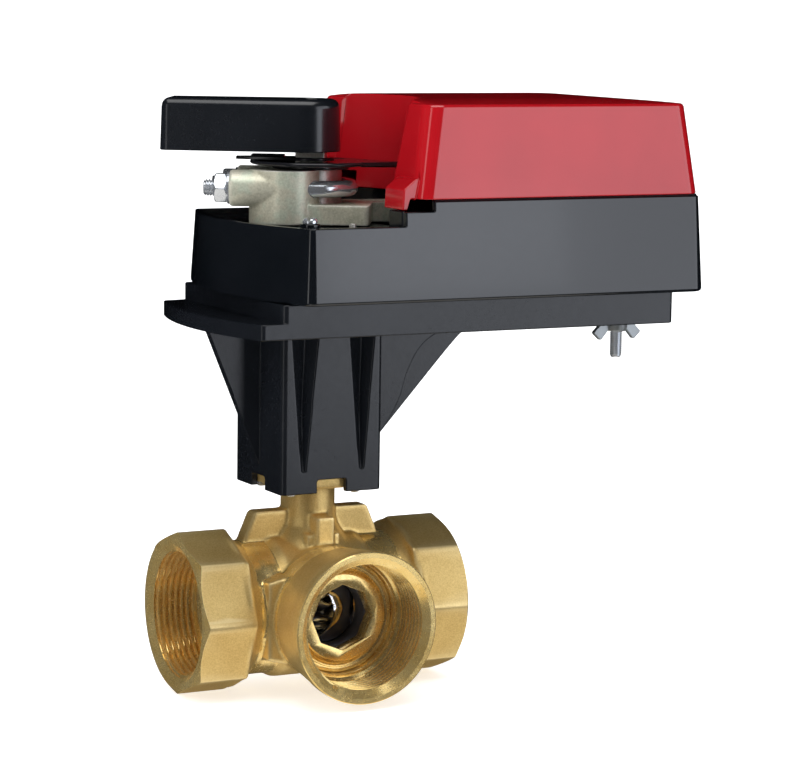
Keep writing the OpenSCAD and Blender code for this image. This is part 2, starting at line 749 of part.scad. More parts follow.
module circuit_board() {
    color("seagreen") valve_frame() translate([95, 0, board_z]) difference() {
        rounded_block([62, 84, 1.6], 2);
        for (p = board_post, s = [-1, 1]) translate([p[0] - 95, s * p[1], -through]) cylinder(r = 1.5, h = 5);
    }
}

module board_screws() {
    color("silver") valve_frame() for (p = board_post, s = [-1, 1])
        translate([p[0], s * p[1], board_z + 1.6 - 8]) screw(1.25, 8, 2.4, 1.8);
}

module terminal_block() {
    color("limegreen") valve_frame() translate([88, 24, board_z + 1.6]) difference() {
        cube([30, 9, 10]);
        for (i = [0:5]) translate([2.5 + i * 5, 4.5, 5]) cylinder(r = 1.5, h = 8, $fn = 24);
    }
}

module capacitor() {
    color("gold") valve_frame() translate([74, 0, board_z + 1.6 + 6]) rotate([90, 0, 0])
        cylinder(r = 6, h = 24, center = true);
}

module cable_gland() {
    color("dimgray") valve_frame() translate([gland_x, 0, gland_z]) rotate([-90, 0, 0]) difference() {
        union() {
            translate([0, 0, 43]) cylinder(r = 7.9, h = 10);
            translate([0, 0, 51.2]) cylinder(r = 12, h = 6.4, $fn = 6);
            translate([0, 0, 57.6]) cylinder(r1 = 10.2, r2 = 7.5, h = 9);
        }
        translate([0, 0, 42]) cylinder(r = 4, h = 30);
    }
}

module gland_locknut() {
    color("dimgray") valve_frame() translate([gland_x, 0, gland_z]) rotate([-90, 0, 0]) translate([0, 0, 42.6])
        difference() {
            cylinder(r = 12, h = 4, $fn = 6);
            translate([0, 0, -through]) cylinder(r = 7.95, h = 8);
        }
}

// ---------------------------------------------------------------- clamp, indicator and handle

module clamp_outline() {
    for (s = [-1, 1]) translate([8.8, s * 8]) circle(r = 12.8);
    translate([-4, -8]) square([25.6, 16]);
}

module clamp_casting() {
    color("#a3a697") turning() difference() {
        union() {
            intersection() {
                translate([0, 0, clamp_z]) linear_extrude(clamp_top - clamp_z) clamp_outline();
                translate([-4.2, -40, 100]) cube([60, 80, 80]);
            }
            translate([-3, 0, clamp_z]) rounded_block([38, 34, 7], 3);
            for (s = [-1, 1]) translate([12, s * bend_r, u_bolt_z]) rotate([0, 90, 0])
                cylinder(r = 6.4, h = boss_end - 12);
            // Arm that meets the stop pins
            rotate([0, 0, -161]) translate([12, -5, clamp_z]) cube([20, 10, 7.6]);
        }
        translate([0, 0, 100]) cylinder(r = shaft_r + 0.02, h = 80);
        // Notch that opens towards the U-bolt's bend
        translate([-30, -shaft_r, clamp_z + 7]) cube([30, 2 * shaft_r, 20]);
        translate([0, 0, u_bolt_z]) rotate_extrude() translate([bend_r, 0]) circle(r = u_bolt_r + slip);
        for (s = [-1, 1]) translate([-20, s * bend_r, u_bolt_z]) rotate([0, 90, 0])
            cylinder(r = u_bolt_r + slip, h = 60);
    }
}

module u_bolt() {
    color("silver") turning() translate([0, 0, u_bolt_z]) {
        for (s = [-1, 1]) translate([0, s * bend_r, 0]) rotate([0, 90, 0]) cylinder(r = u_bolt_r, h = 37);
        intersection() {
            rotate_extrude() translate([bend_r, 0]) circle(r = u_bolt_r);
            translate([-40, -40, -10]) cube([40, 80, 20]);
        }
    }
}

module clamp_washers() {
    color("silver") turning() for (s = [-1, 1]) translate([boss_end, s * bend_r, u_bolt_z]) rotate([0, 90, 0])
        ring(5.6, u_bolt_r + slip, 1);
}

module clamp_nuts() {
    color("silver") turning() for (s = [-1, 1]) translate([boss_end + 1, s * bend_r, u_bolt_z])
        rotate([0, 90, 0]) difference() {
            cylinder(r = 5.7, h = nut_t, $fn = 6);
            translate([0, 0, -through]) cylinder(r = u_bolt_r + slip, h = 10);
        }
}

module indicator_disc() {
    color("#1a1a1a") turning() difference() {
        union() {
            translate([0, 0, clamp_top + 0.1]) cylinder(r = 14, h = indicator_z - clamp_top);
            translate([0, 0, indicator_z]) cylinder(r = 22, h = 1.5);
            translate([0, 0, indicator_z]) linear_extrude(1.5)
                polygon([[-12, -15], [-33.5, -1.5], [-33.5, 1.5], [-12, 15]]);
        }
        translate([0, 0, 150]) rounded_block([shaft_square + 0.1, shaft_square + 0.1, 20], 0.8);
        translate([0, 0, 150]) cylinder(r = shaft_r + slip, h = 9.05);
    }
}

module pointer() {
    color("#1a1a1a") turning() translate([0, 0, indicator_z + 1.5]) difference() {
        union() {
            cylinder(r = 8.4, h = 1.2);
            linear_extrude(1.2) polygon([[0, -5], [21, -3], [27, -0.8], [27, 0.8], [21, 3], [0, 5]]);
            translate([9.6, -2.6, 0]) cube([12, 5.2, 2]);
        }
        translate([0, 0, -through]) rounded_block([shaft_square + 0.1, shaft_square + 0.1, 5], 0.8);
    }
}

// One rounded corner of the handle, with its top edge bevelled.
module handle_corner(x, y, r) {
    translate([x, y, handle_z]) cylinder(r = r, h = handle_top - handle_z - handle_bevel, $fn = 32);
    translate([x, y, handle_top - handle_bevel])
        cylinder(r1 = r, r2 = r - handle_bevel, h = handle_bevel, $fn = 32);
}

module handle() {
    color("#20242b") turning() difference() {
        hull() {
            handle_corner(handle_hub_x, 0, handle_hub_r);
            for (s = [-1, 1]) handle_corner(handle_reach - 3.5, s * 8, 3.5);
        }
        translate([0, 0, handle_z - through])
            rounded_block([shaft_square + 0.1, shaft_square + 0.1, 173 - handle_z + through], 0.8);
        translate([0, 0, 172]) cylinder(r = 2.2, h = 20);
        translate([0, 0, 178]) cylinder(r = 4.8, h = 10);
    }
}

module handle_screw() {
    color("silver") turning() translate([0, 0, 166]) screw(1.98, 12, 4.2, 3);
}

// ---------------------------------------------------------------- stud and wing nut

module stud() {
    color("silver") valve_frame() translate([stud_x, stud_y, 84.9]) {
        cylinder(r = stud_r, h = floor_z - 84.9);
        translate([0, 0, floor_z - 84.9]) cylinder(r = 4.6, h = 3.2, $fn = 6);
    }
}

module stud_washer() {
    color("silver") valve_frame() translate([stud_x, stud_y, plate_z - 1]) ring(5.2, stud_r + slip, 1);
}

module wing_nut() {
    color("silver") valve_frame() translate([stud_x, stud_y, plate_z - 1.05]) difference() {
        union() {
            translate([0, 0, -4.5]) cylinder(r1 = 3.8, r2 = 4.6, h = 4.5);
            rotate([90, 0, 0]) translate([0, 0, -1]) linear_extrude(2) for (s = [0, 1]) mirror([s, 0])
                polygon([[0, -0.6], [5.6, -0.4], [10.2, -4.9], [9.9, -5.6],
                    [7.5, -7.8], [6.8, -7.7], [3, -3.4], [0, -3.4]]);
        }
        translate([0, 0, -20]) cylinder(r = stud_r + slip, h = 40);
    }
}

valve_body();
left_retainer();
right_retainer();
branch_retainer();
left_seat();
right_seat();
branch_seat();
ball();
stem();
stem_o_rings();
thrust_washer();
mounting_bracket();
bracket_screws();
coupling_sleeve();
coupling_pin();
drive_shaft();
retaining_ring();
lower_bush();
upper_bush();
housing_base();
base_screws();
housing_deck();
deck_screws();
stop_pins();
output_gear();
gear_key();
switch_cam();
limit_switches();
gear_plate();
plate_posts();
gear_axles();
second_gear();
first_gear();
motor();
motor_screws();
motor_pinion();
circuit_board();
board_screws();
terminal_block();
capacitor();
cable_gland();
gland_locknut();
cover();
cover_screws();
clamp_casting();
u_bolt();
clamp_washers();
clamp_nuts();
indicator_disc();
pointer();
handle();
handle_screw();
stud();
stud_washer();
wing_nut();
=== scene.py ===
"""Motorised three-way ball valve: the visible meshes, materials, light and camera.

Shapes are drawn in millimetres from the ball's centre, +Z up the stem, and placed on the frame at the end.
"""

import json
import math

import bmesh
import bpy
import numpy as np
from mathutils import Matrix, Vector


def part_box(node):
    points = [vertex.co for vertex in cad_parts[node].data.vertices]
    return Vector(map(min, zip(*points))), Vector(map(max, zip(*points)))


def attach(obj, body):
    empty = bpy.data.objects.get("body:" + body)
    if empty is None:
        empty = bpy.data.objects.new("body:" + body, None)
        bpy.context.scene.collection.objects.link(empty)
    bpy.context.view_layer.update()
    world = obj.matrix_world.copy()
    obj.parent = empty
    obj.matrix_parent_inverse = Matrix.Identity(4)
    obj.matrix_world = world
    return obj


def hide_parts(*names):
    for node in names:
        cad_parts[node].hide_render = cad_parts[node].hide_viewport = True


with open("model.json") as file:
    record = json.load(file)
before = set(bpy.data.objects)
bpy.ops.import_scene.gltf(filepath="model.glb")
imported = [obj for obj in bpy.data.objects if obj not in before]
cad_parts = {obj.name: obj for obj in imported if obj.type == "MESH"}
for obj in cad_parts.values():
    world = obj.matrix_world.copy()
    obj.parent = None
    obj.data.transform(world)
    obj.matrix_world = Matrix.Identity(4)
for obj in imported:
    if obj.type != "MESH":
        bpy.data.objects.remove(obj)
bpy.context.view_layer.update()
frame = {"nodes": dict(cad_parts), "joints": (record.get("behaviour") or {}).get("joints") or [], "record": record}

# -------- places, from the frame

MM = 0.001
JOINT = {j["name"]: j for j in frame["joints"]}
AXIS = Vector(JOINT["drive_turn"]["pos_m"])
VALVE = Matrix.Translation((AXIS.x, AXIS.y, 0)) @ Matrix.Scale(MM, 4)
HANDLE_ANGLE = math.radians(150)  # direction of the handle at rest, from +X
DRIVE = VALVE @ Matrix.Rotation(HANDLE_ANGLE, 4, "Z")


def box_mm(node):
    """A CAD node's lowest and highest corners, in millimetres from the ball's centre."""
    back = VALVE.inverted()
    low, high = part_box(node)
    return back @ low, back @ high


BODY_LOW, BODY_HIGH = box_mm("valve_body")
BRACKET_LOW, BRACKET_HIGH = box_mm("mounting_bracket")
BASE_LOW, BASE_HIGH = box_mm("housing_base")
COVER_HIGH = box_mm("cover")[1]
HANDLE_LOW, HANDLE_HIGH = box_mm("handle")

RUN_HALF = BODY_HIGH.x
BRANCH_FACE = -BODY_LOW.y
FLANGE_TOP = BODY_HIGH.z

# -------- mesh helpers


def mesh_object(name, verts, faces):
    """A new object from plain lists, with its faces turned outwards."""
    mesh = bpy.data.meshes.new(name)
    mesh.from_pydata([tuple(v) for v in verts], [], faces)
    obj = bpy.data.objects.new(name, mesh)
    bpy.context.scene.collection.objects.link(obj)
    b = bmesh.new()
    b.from_mesh(mesh)
    bmesh.ops.recalc_face_normals(b, faces=b.faces)
    b.to_mesh(mesh)
    b.free()
    return obj


def loft(name, rings, closed=False):
    """Skin through rings of equal length. A closed loft joins its last ring to its first."""
    n = len(rings[0])
    verts = [p for ring in rings for p in ring]
    faces = []
    for i in range(len(rings) if closed else len(rings) - 1):
        a, b = i * n, (i + 1) % len(rings) * n
        faces += [(a + j, a + (j + 1) % n, b + (j + 1) % n, b + j) for j in range(n)]
    if not closed:
        faces += [tuple(range(n))[::-1], tuple((len(rings) - 1) * n + j for j in range(n))]
    return mesh_object(name, verts, faces)


def circle(r, z, n):
    turn = [2 * math.pi * j / n for j in range(n)]
    return [(r * math.cos(a), r * math.sin(a), z) for a in turn]


def lathe(name, profile, n=96, closed=False):
    """Turned shape about Z. profile is a list of (radius, z)."""
    return loft(name, [circle(r, z, n) for r, z in profile], closed)


def arc(cx, cy, r, a0, a1, n):
    """Points of an arc in a plane, angles in degrees."""
    turn = [math.radians(a0 + (a1 - a0) * i / n) for i in range(n + 1)]
    return [(cx + r * math.cos(a), cy + r * math.sin(a)) for a in turn]


def filleted(points, radius, n=6):
    """A convex or concave outline with its corners rounded. radius is one number, or one for each corner."""
    out = []
    count = len(points)
    for i, p in enumerate(points):
        r = radius[i] if isinstance(radius, (list, tuple)) else radius
        p = Vector(p)
        before = (Vector(points[i - 1]) - p).normalized()
        after = (Vector(points[(i + 1) % count]) - p).normalized()
        half = before.angle(after) / 2
        if r <= 0 or half > math.radians(89):
            out.append(tuple(p))
            continue
        middle = p + (before + after).normalized() * r / math.sin(half)
        start = p + before * r / math.tan(half) - middle
        end = p + after * r / math.tan(half) - middle
        span = start.angle_signed(end)
        for k in range(n + 1):
            a = -span * k / n
            c, s = math.cos(a), math.sin(a)
            out.append((middle.x + c * start.x - s * start.y, middle.y + s * start.x + c * start.y))
    return out


def inset(outline, d):
    """Moves each point of a counter-clockwise outline inwards by d."""
    pts = np.array(outline, float)
    along = np.roll(pts, -1, axis=0) - pts
    along /= np.linalg.norm(along, axis=1)[:, None]
    normal = np.stack([-along[:, 1], along[:, 0]], axis=1)
    both = normal + np.roll(normal, 1, axis=0)
    both /= np.maximum((both**2).sum(axis=1), 0.2)[:, None]
    return (pts + both * 2 * d).tolist()


def rectangle(x0, y0, x1, y1):
    return [(x0, y0), (x1, y0), (x1, y1), (x0, y1)]


def square(half):
    return rectangle(-half, -half, half, half)


def polygon(r, sides):
    """Regular polygon with its corners at radius r, the first one on +X."""
    return [(x, y) for x, y, _ in circle(r, 0, sides)]


def mirrored(outline, s, across="x"):
    """An outline that is mirrored where s is -1, and still counter-clockwise."""
    sx, sy = (s, 1) if across == "x" else (1, s)
    return [(x * sx, y * sy) for x, y in outline][::s]


def at_height(outline, z):
    return [(x, y, z) for x, y in outline]


def leaning(name, outline, levels):
    """Loft of an outline through (z, inset) levels."""
    return loft(name, [at_height(inset(outline, d), z) for z, d in levels])


def quarter(n):
    """Steps round a quarter of a unit circle, as (1 - cos, 1 - sin)."""
    turn = [math.pi / 2 * k / n for k in range(n + 1)]
    return [(1 - math.cos(a), 1 - math.sin(a)) for a in turn]


def prism(name, outline, z0, z1, low=0.0, high=0.0, n=4):
    """Outline raised from z0 to z1, with its lower and upper edges rounded by low and high."""
    levels = [(z0, 0)]
    if low:
        levels = [(z0 + low * c, low * s) for c, s in quarter(n)]
    if high:
        levels += [(z1 - high * s, high * c) for c, s in quarter(n)]
    else:
        levels.append((z1, 0))
    return leaning(name, outline, levels)


def block(name, low, high):
    return prism(name, rectangle(*low[:2], *high[:2]), low[2], high[2])


def turned(obj, axis, degrees):
    obj.data.transform(Matrix.Rotation(math.radians(degrees), 4, axis))
    return obj


def moved(obj, x=0.0, y=0.0, z=0.0):
    obj.data.transform(Matrix.Translation((x, y, z)))
    return obj


def flatten(obj):
    """Makes an object's modifiers part of its mesh."""
    graph = bpy.context.evaluated_depsgraph_get()
    mesh = bpy.data.meshes.new_from_object(obj.evaluated_get(graph))
    obj.modifiers.clear()
    obj.data = mesh
    return obj


def boolean(target, tools, operation="DIFFERENCE"):
    tools = tools if isinstance(tools, (list, tuple)) else [tools]
    for tool in tools:
        mod = target.modifiers.new("boolean", "BOOLEAN")
        mod.object = tool
        mod.operation = operation
        mod.solver = "MANIFOLD"
    flatten(target)
    for tool in tools:
        bpy.data.objects.remove(tool)
    return target


def joined(name, parts):
    """One object that holds the meshes of all the parts."""
    b = bmesh.new()
    for part in parts:
        b.from_mesh(part.data)
        bpy.data.objects.remove(part)
    mesh = bpy.data.meshes.new(name)
    b.to_mesh(mesh)
    b.free()
    obj = bpy.data.objects.new(name, mesh)
    bpy.context.scene.collection.objects.link(obj)
    return obj


def cast(obj, voxel, smooth):
    """Melts overlapping shapes into one casting with filleted corners."""
    remesh = obj.modifiers.new("melt", "REMESH")
    remesh.mode = "VOXEL"
    remesh.voxel_size = voxel
    soft = obj.modifiers.new("soft", "SMOOTH")
    soft.factor = 0.5
    soft.iterations = smooth
    return flatten(obj)


def eased(obj, width, segments=3, angle=30.0, planar=0.5):
    """Rounds an object's sharp edges."""
    b = bmesh.new()
    b.from_mesh(obj.data)
    bmesh.ops.remove_doubles(b, verts=b.verts, dist=0.01)
    bmesh.ops.dissolve_degenerate(b, dist=0.01, edges=b.edges)
    bmesh.ops.dissolve_limit(b, angle_limit=math.radians(planar), verts=b.verts, edges=b.edges)
    b.to_mesh(obj.data)
    b.free()
    mod = obj.modifiers.new("bevel", "BEVEL")
    mod.width = width
    mod.segments = segments
    mod.limit_method = "ANGLE"
    mod.angle_limit = math.radians(angle)
    mod.use_clamp_overlap = False
    mod.miter_outer = "MITER_ARC"
    return flatten(obj)


def smooth(obj, angle, weighted):
    obj.data.shade_smooth()
    obj.data.set_sharp_from_angle(angle=math.radians(angle))
    if weighted:
        mod = obj.modifiers.new("normals", "WEIGHTED_NORMAL")
        mod.keep_sharp = True
        flatten(obj)


def from_node(name, width=0.2, segments=2, angle=30.0):
    """A copy of a CAD node's shape in millimetres, with its sharp edges rounded."""
    obj = bpy.data.objects.new(name, frame["nodes"][name].data.copy())
    bpy.context.scene.collection.objects.link(obj)
    obj.data.transform(VALVE.inverted())
    return eased(obj, width, segments, angle)


def threaded(name, core, crest, pitch, z0, z1, n=64, steps=8, lead=0.5):
    """Rod with a screw thread: its radius follows the helix, and the thread fades out at both ends."""
    rings = []
    count = max(2, int((z1 - z0) / pitch * steps))
    for i in range(count + 1):
        z = z0 + (z1 - z0) * i / count
        fade = min(1.0, (z - z0) / (lead * pitch), (z1 - z) / (lead * pitch))
        ring = []
        for j in range(n):
            phase = (z / pitch - j / n) % 1.0
            rise = min(1.0, max(0.0, (1 - abs(2 * phase - 1)) * 1.35 - 0.15))
            rise = rise * rise * (3 - 2 * rise)
            r = core + (crest - core) * rise * max(0.0, fade)
            a = 2 * math.pi * j / n
            ring.append((r * math.cos(a), r * math.sin(a), z))
        rings.append(ring)
    return loft(name, rings)


def hexagon(across_flats):
    return polygon(across_flats / math.sqrt(3), 6)


def nut(name, flats, height, hole):
    """Hexagon nut with its corners turned off at both faces."""
    body = prism(name, filleted(hexagon(flats), 0.25, 2), 0, height)
    r = flats / 2
    inner, outer = r * 0.96, r * 1.16
    corners = [(inner, -0.01), (outer, height * 0.2), (outer, height * 0.8), (inner, height + 0.01)]
    boolean(body, lathe("dome", corners, 64), "INTERSECT")
    wide = hole + 0.5
    bore = [(wide, -0.1), (hole, 0.5), (hole, height - 0.5), (wide, height + 0.1)]
    return boolean(body, lathe("hole", bore, 48))


# -------- material helpers


class Tree:
    """A material's node tree, with short calls for what these materials share."""

    def __init__(self, name):
        self.material = bpy.data.materials.new(name)
        self.material.use_nodes = True
        self.tree = self.material.node_tree
        self.shader = self.tree.nodes["Principled BSDF"]
        self.where = self.add("ShaderNodeTexCoord").outputs["Object"]

    def add(self, kind, **values):
        node = self.tree.nodes.new(kind)
        for key, value in values.items():
            setattr(node, key, value)
        return node

    def link(self, output, node, socket):
        self.tree.links.new(output, node.inputs[socket])

    def noise(self, scale, detail=3.0, rough=0.5, stretch=None):
        """Noise in metres: scale is the number of spots per millimetre."""
        node = self.add("ShaderNodeTexNoise")
        node.inputs["Scale"].default_value = scale * 1000
        node.inputs["Detail"].default_value = detail
        node.inputs["Roughness"].default_value = rough
        source = self.where
        if stretch:
            mapping = self.add("ShaderNodeMapping")
            mapping.inputs["Scale"].default_value = stretch
            self.link(source, mapping, "Vector")
            source = mapping.outputs[0]
        self.link(source, node, "Vector")
        return node.outputs["Fac"]

    def ramp(self, source, stops):
        """Maps a value to colours or greys. stops is a list of (place, colour or grey)."""
        node = self.add("ShaderNodeValToRGB")
        points = node.color_ramp.elements
        while len(points) < len(stops):
            points.new(0.5)
        for point, (where, value) in zip(points, stops):
            point.position = where
            point.color = (*value, 1) if isinstance(value, tuple) else (value, value, value, 1)
        self.link(source, node, "Fac")
        return node.outputs["Color"]

    def mix(self, fac, a, b):
        node = self.add("ShaderNodeMix", data_type="RGBA")
        for socket, value in ((0, fac), (6, a), (7, b)):
            if isinstance(value, (int, float)):
                node.inputs[socket].default_value = value if socket == 0 else (value, value, value, 1)
            elif isinstance(value, tuple):
                node.inputs[socket].default_value = (*value, 1)
            else:
                self.tree.links.new(value, node.inputs[socket])
        return node.outputs[2]

    def bump(self, height, strength, distance, under=None):
        node = self.add("ShaderNodeBump")
        node.inputs["Strength"].default_value = strength
        node.inputs["Distance"].default_value = distance * MM
        self.link(height, node, "Height")
        if under:
            self.link(under, node, "Normal")
        return node.outputs["Normal"]

    def finish(self, colour=None, rough=None, normal=None, **values):
        for source, socket in ((colour, "Base Color"), (rough, "Roughness"), (normal, "Normal")):
            if source is not None:
                self.link(source, self.shader, socket)
        for key, value in values.items():
            self.shader.inputs[key.replace("_", " ")].default_value = value
        return self.material


def edge_wear(t, strength):
    """Grey mask that is bright along convex edges."""
    geometry = t.add("ShaderNodeNewGeometry")
    return t.ramp(geometry.outputs["Pointiness"], [(0.5, 0.0), (0.56, strength)])


# -------- materials


def cast_brass():
    t = Tree("cast_brass")
    grain = t.noise(1.9, 4, 0.65)
    patches = t.noise(0.045, 3, 0.5)
    tone = t.ramp(patches, [(0.35, (0.66, 0.44, 0.145)), (0.65, (0.82, 0.59, 0.22))])
    speck = t.ramp(grain, [(0.35, (0.50, 0.31, 0.09)), (0.62, (0.92, 0.70, 0.31))])
    colour = t.mix(0.35, tone, speck)
    colour = t.mix(edge_wear(t, 0.6), colour, (0.95, 0.78, 0.42))
    rough = t.ramp(grain, [(0.3, 0.46), (0.7, 0.34)])
    fine = t.bump(t.noise(3.4, 4, 0.7), 0.4, 0.12)
    coarse = t.bump(t.noise(0.35, 2, 0.5), 0.25, 0.25, fine)
    return t.finish(colour, rough, coarse, Metallic=0.8)


def turned_brass():
    t = Tree("turned_brass")
    stain = t.noise(0.12, 4, 0.6)
    colour = t.ramp(stain, [(0.3, (0.84, 0.56, 0.17)), (0.7, (0.97, 0.75, 0.33))])
    rings = t.noise(0.8, 5, 0.7)
    rough = t.ramp(rings, [(0.3, 0.16), (0.7, 0.30)])
    return t.finish(colour, rough, t.bump(rings, 0.12, 0.05), Metallic=0.82)


def steel(name, light, dark, rough_low, rough_high, grain, stretch=None, relief=0.15, metal=0.82):
    t = Tree(name)
    streak = t.noise(grain, 4, 0.6, stretch)
    cloud = t.noise(0.09, 3, 0.5)
    stops = [(0.3, dark), (0.7, light)]
    colour = t.mix(0.45, t.ramp(streak, stops), t.ramp(cloud, stops))
    rough = t.ramp(streak, [(0.3, rough_low), (0.7, rough_high)])
    return t.finish(colour, rough, t.bump(streak, relief, 0.06), Metallic=metal)


def zinc_casting():
    t = Tree("zinc_casting")
    grain = t.noise(1.3, 5, 0.7)
    film = t.noise(0.075, 3, 0.6)
    film_stops = [(0.30, (0.36, 0.36, 0.25)), (0.47, (0.56, 0.53, 0.39)), (0.58, (0.50, 0.57, 0.43)),
                  (0.72, (0.66, 0.62, 0.49))]
    grain_stops = [(0.35, (0.30, 0.29, 0.23)), (0.65, (0.78, 0.76, 0.66))]
    colour = t.mix(0.35, t.ramp(film, film_stops), t.ramp(grain, grain_stops))
    colour = t.mix(edge_wear(t, 0.7), colour, (0.84, 0.83, 0.76))
    rough = t.ramp(grain, [(0.3, 0.30), (0.7, 0.46)])
    normal = t.bump(grain, 0.35, 0.15, t.bump(t.noise(0.3, 3, 0.5), 0.2, 0.3))
    return t.finish(colour, rough, normal, Metallic=0.5)


def plastic(name, low, high, rough_low, rough_high, relief=0.05, coat=0.0):
    """Moulded plastic: slight colour clouds, a fine pebble, and a surface that is never quite flat."""
    t = Tree(name)
    cloud = t.noise(0.03, 3, 0.5)
    pebble = t.noise(0.6, 4, 0.6)
    colour = t.ramp(cloud, [(0.3, low), (0.7, high)])
    stops = [(0.3, rough_low), (0.7, rough_high)]
    rough = t.mix(0.5, t.ramp(pebble, stops), t.ramp(t.noise(0.012, 3, 0.5), stops))
    normal = t.bump(pebble, relief, 0.04, t.bump(t.noise(0.05, 2, 0.5), 0.12, 0.25))
    return t.finish(colour, rough, normal, Coat_Weight=coat, Coat_Roughness=0.06)


# Colours from dark to light, roughness from low to high, relief, coat
PLASTICS = {
    "filled_ptfe": ((0.045, 0.042, 0.045), (0.075, 0.07, 0.075), 0.35, 0.5),
    "black_rubber": ((0.012, 0.012, 0.012), (0.02, 0.02, 0.02), 0.6, 0.8, 0.2),
    "white_plastic": ((0.72, 0.72, 0.70), (0.80, 0.80, 0.78), 0.3, 0.45),
    "bracket_plastic": ((0.0045, 0.0055, 0.0075), (0.0075, 0.009, 0.012), 0.20, 0.30, 0.02),
    "housing_plastic": ((0.003, 0.004, 0.0055), (0.005, 0.006, 0.008), 0.12, 0.2, 0.02, 0.3),
    "small_black_plastic": ((0.012, 0.012, 0.014), (0.02, 0.02, 0.022), 0.35, 0.5, 0.12),
    "indicator_plastic": ((0.005, 0.005, 0.007), (0.009, 0.009, 0.011), 0.15, 0.25, 0.03),
    "handle_plastic": ((0.004, 0.005, 0.007), (0.0065, 0.008, 0.011), 0.2, 0.3, 0.03, 0.2),
    "cover_plastic": ((0.33, 0.004, 0.008), (0.39, 0.006, 0.011), 0.10, 0.17, 0.015, 0.5),
    "gear_nylon": ((0.70, 0.66, 0.55), (0.78, 0.74, 0.62), 0.35, 0.5),
    "board_green": ((0.01, 0.11, 0.035), (0.02, 0.16, 0.05), 0.2, 0.4),
    "terminal_green": ((0.03, 0.28, 0.05), (0.04, 0.34, 0.07), 0.3, 0.4),
    "capacitor_yellow": ((0.62, 0.42, 0.03), (0.70, 0.48, 0.05), 0.2, 0.3),
}
# Colours from light to dark, roughness from low to high, grain, stretch, relief, metal
METALS = {
    "chromed_brass": ((0.80, 0.80, 0.82), (0.66, 0.67, 0.70), 0.05, 0.12, 0.4, None, 0.15, 1.0),
    "plated_steel": ((0.80, 0.83, 0.87), (0.62, 0.65, 0.70), 0.12, 0.25, 0.9),
    "shaft_steel": ((0.74, 0.72, 0.67), (0.42, 0.40, 0.36), 0.3, 0.45, 1.6, None, 0.4),
    "bush_bronze": ((0.62, 0.42, 0.22), (0.48, 0.31, 0.15), 0.3, 0.45, 1.5),
    "zinc_sheet": ((0.70, 0.72, 0.74), (0.52, 0.55, 0.58), 0.25, 0.4, 0.1),
    "motor_can": ((0.72, 0.72, 0.73), (0.56, 0.57, 0.58), 0.2, 0.35, 0.8, (1, 1, 8)),
    "dull_zinc": ((0.40, 0.42, 0.43), (0.27, 0.29, 0.30), 0.3, 0.45, 1.4),
}
MAT = {"cast_brass": cast_brass(), "turned_brass": turned_brass(), "zinc_casting": zinc_casting()}
MAT.update({name: plastic(name, *row) for name, row in PLASTICS.items()})
MAT.update({name: steel(name, *row) for name, row in METALS.items()})

for row in frame["record"]["subparts"]:
    mesh = frame["nodes"][row["node"]].data
    mesh.materials.clear()
    mesh.materials.append(MAT[row["material_slot"]])


def put(obj, name, body, slot, nodes=(), where=VALVE, angle=40.0, weighted=False, material=None):
    """Names a finished shape, puts it on the frame and gives it its body and material: the given one, otherwise
    the slot's material.
    """
    smooth(obj, angle, weighted)
    obj.name = name
    obj.data.name = name
    obj.data.transform(where)
    obj.data.materials.clear()
    obj.data.materials.append(material or MAT[slot])
    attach(obj, body)
    if nodes:
        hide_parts(*nodes)


# -------- valve

PORT_R = 22.4
THREAD_PITCH = 2.309
THREAD_DEPTH = 1.35
THREAD_LEN = 17.0
MOUTH_CHAMFER = 2.0
CHAMFER_R = 25.2
CAVITY_R = 20.6
FACED = 2.6  # depth to which the mouths are turned
BORED_R = 24.9  # everything within this radius, and past BORED_FROM, is cut
BORED_FROM = 19.0
RETAINER_Z = 24.0
RETAINER_T = 6.0
OCTAGON_R = 29.7
OCTAGON_LEN = 20.0
NECK_R = 9.9
FLANGE_HALF = 17.2
FLANGE_Z = 44.5
NECK_SCREWS = [(x, y) for x in (-12.73, 12.73) for y in (-12.73, 12.73)]
SIDES = ("left", "right", "branch")
MOUTH = {"left": RUN_HALF, "right": RUN_HALF, "branch": BRANCH_FACE}
FACE_R = {"left": 27.5, "right": 27.5, "branch": 26.9}


def on_port(obj, side):
    """Turns a shape drawn along +Z so that it lies on a port."""
    turn = {"left": ("Y", -90), "right": ("Y", 90), "branch": ("X", 90)}[side]
    return turned(obj, *turn)


def run_end(side):
    """Octagonal run end with the flared waist behind it, longer than its mouth so that it can be faced."""
    start = RUN_HALF - OCTAGON_LEN
    head = prism("head", filleted(polygon(OCTAGON_R, 8), 1.0, 3), start, RUN_HALF + 2)
    profile = [(24.2, 0), (24.2, start - 6.5), (24.9, start - 3.2), (26.6, start - 0.6), (28.2, start + 1.2),
               (28.2, start + 2)]
    return [on_port(head, side), on_port(lathe("flare", profile, 64), side)]


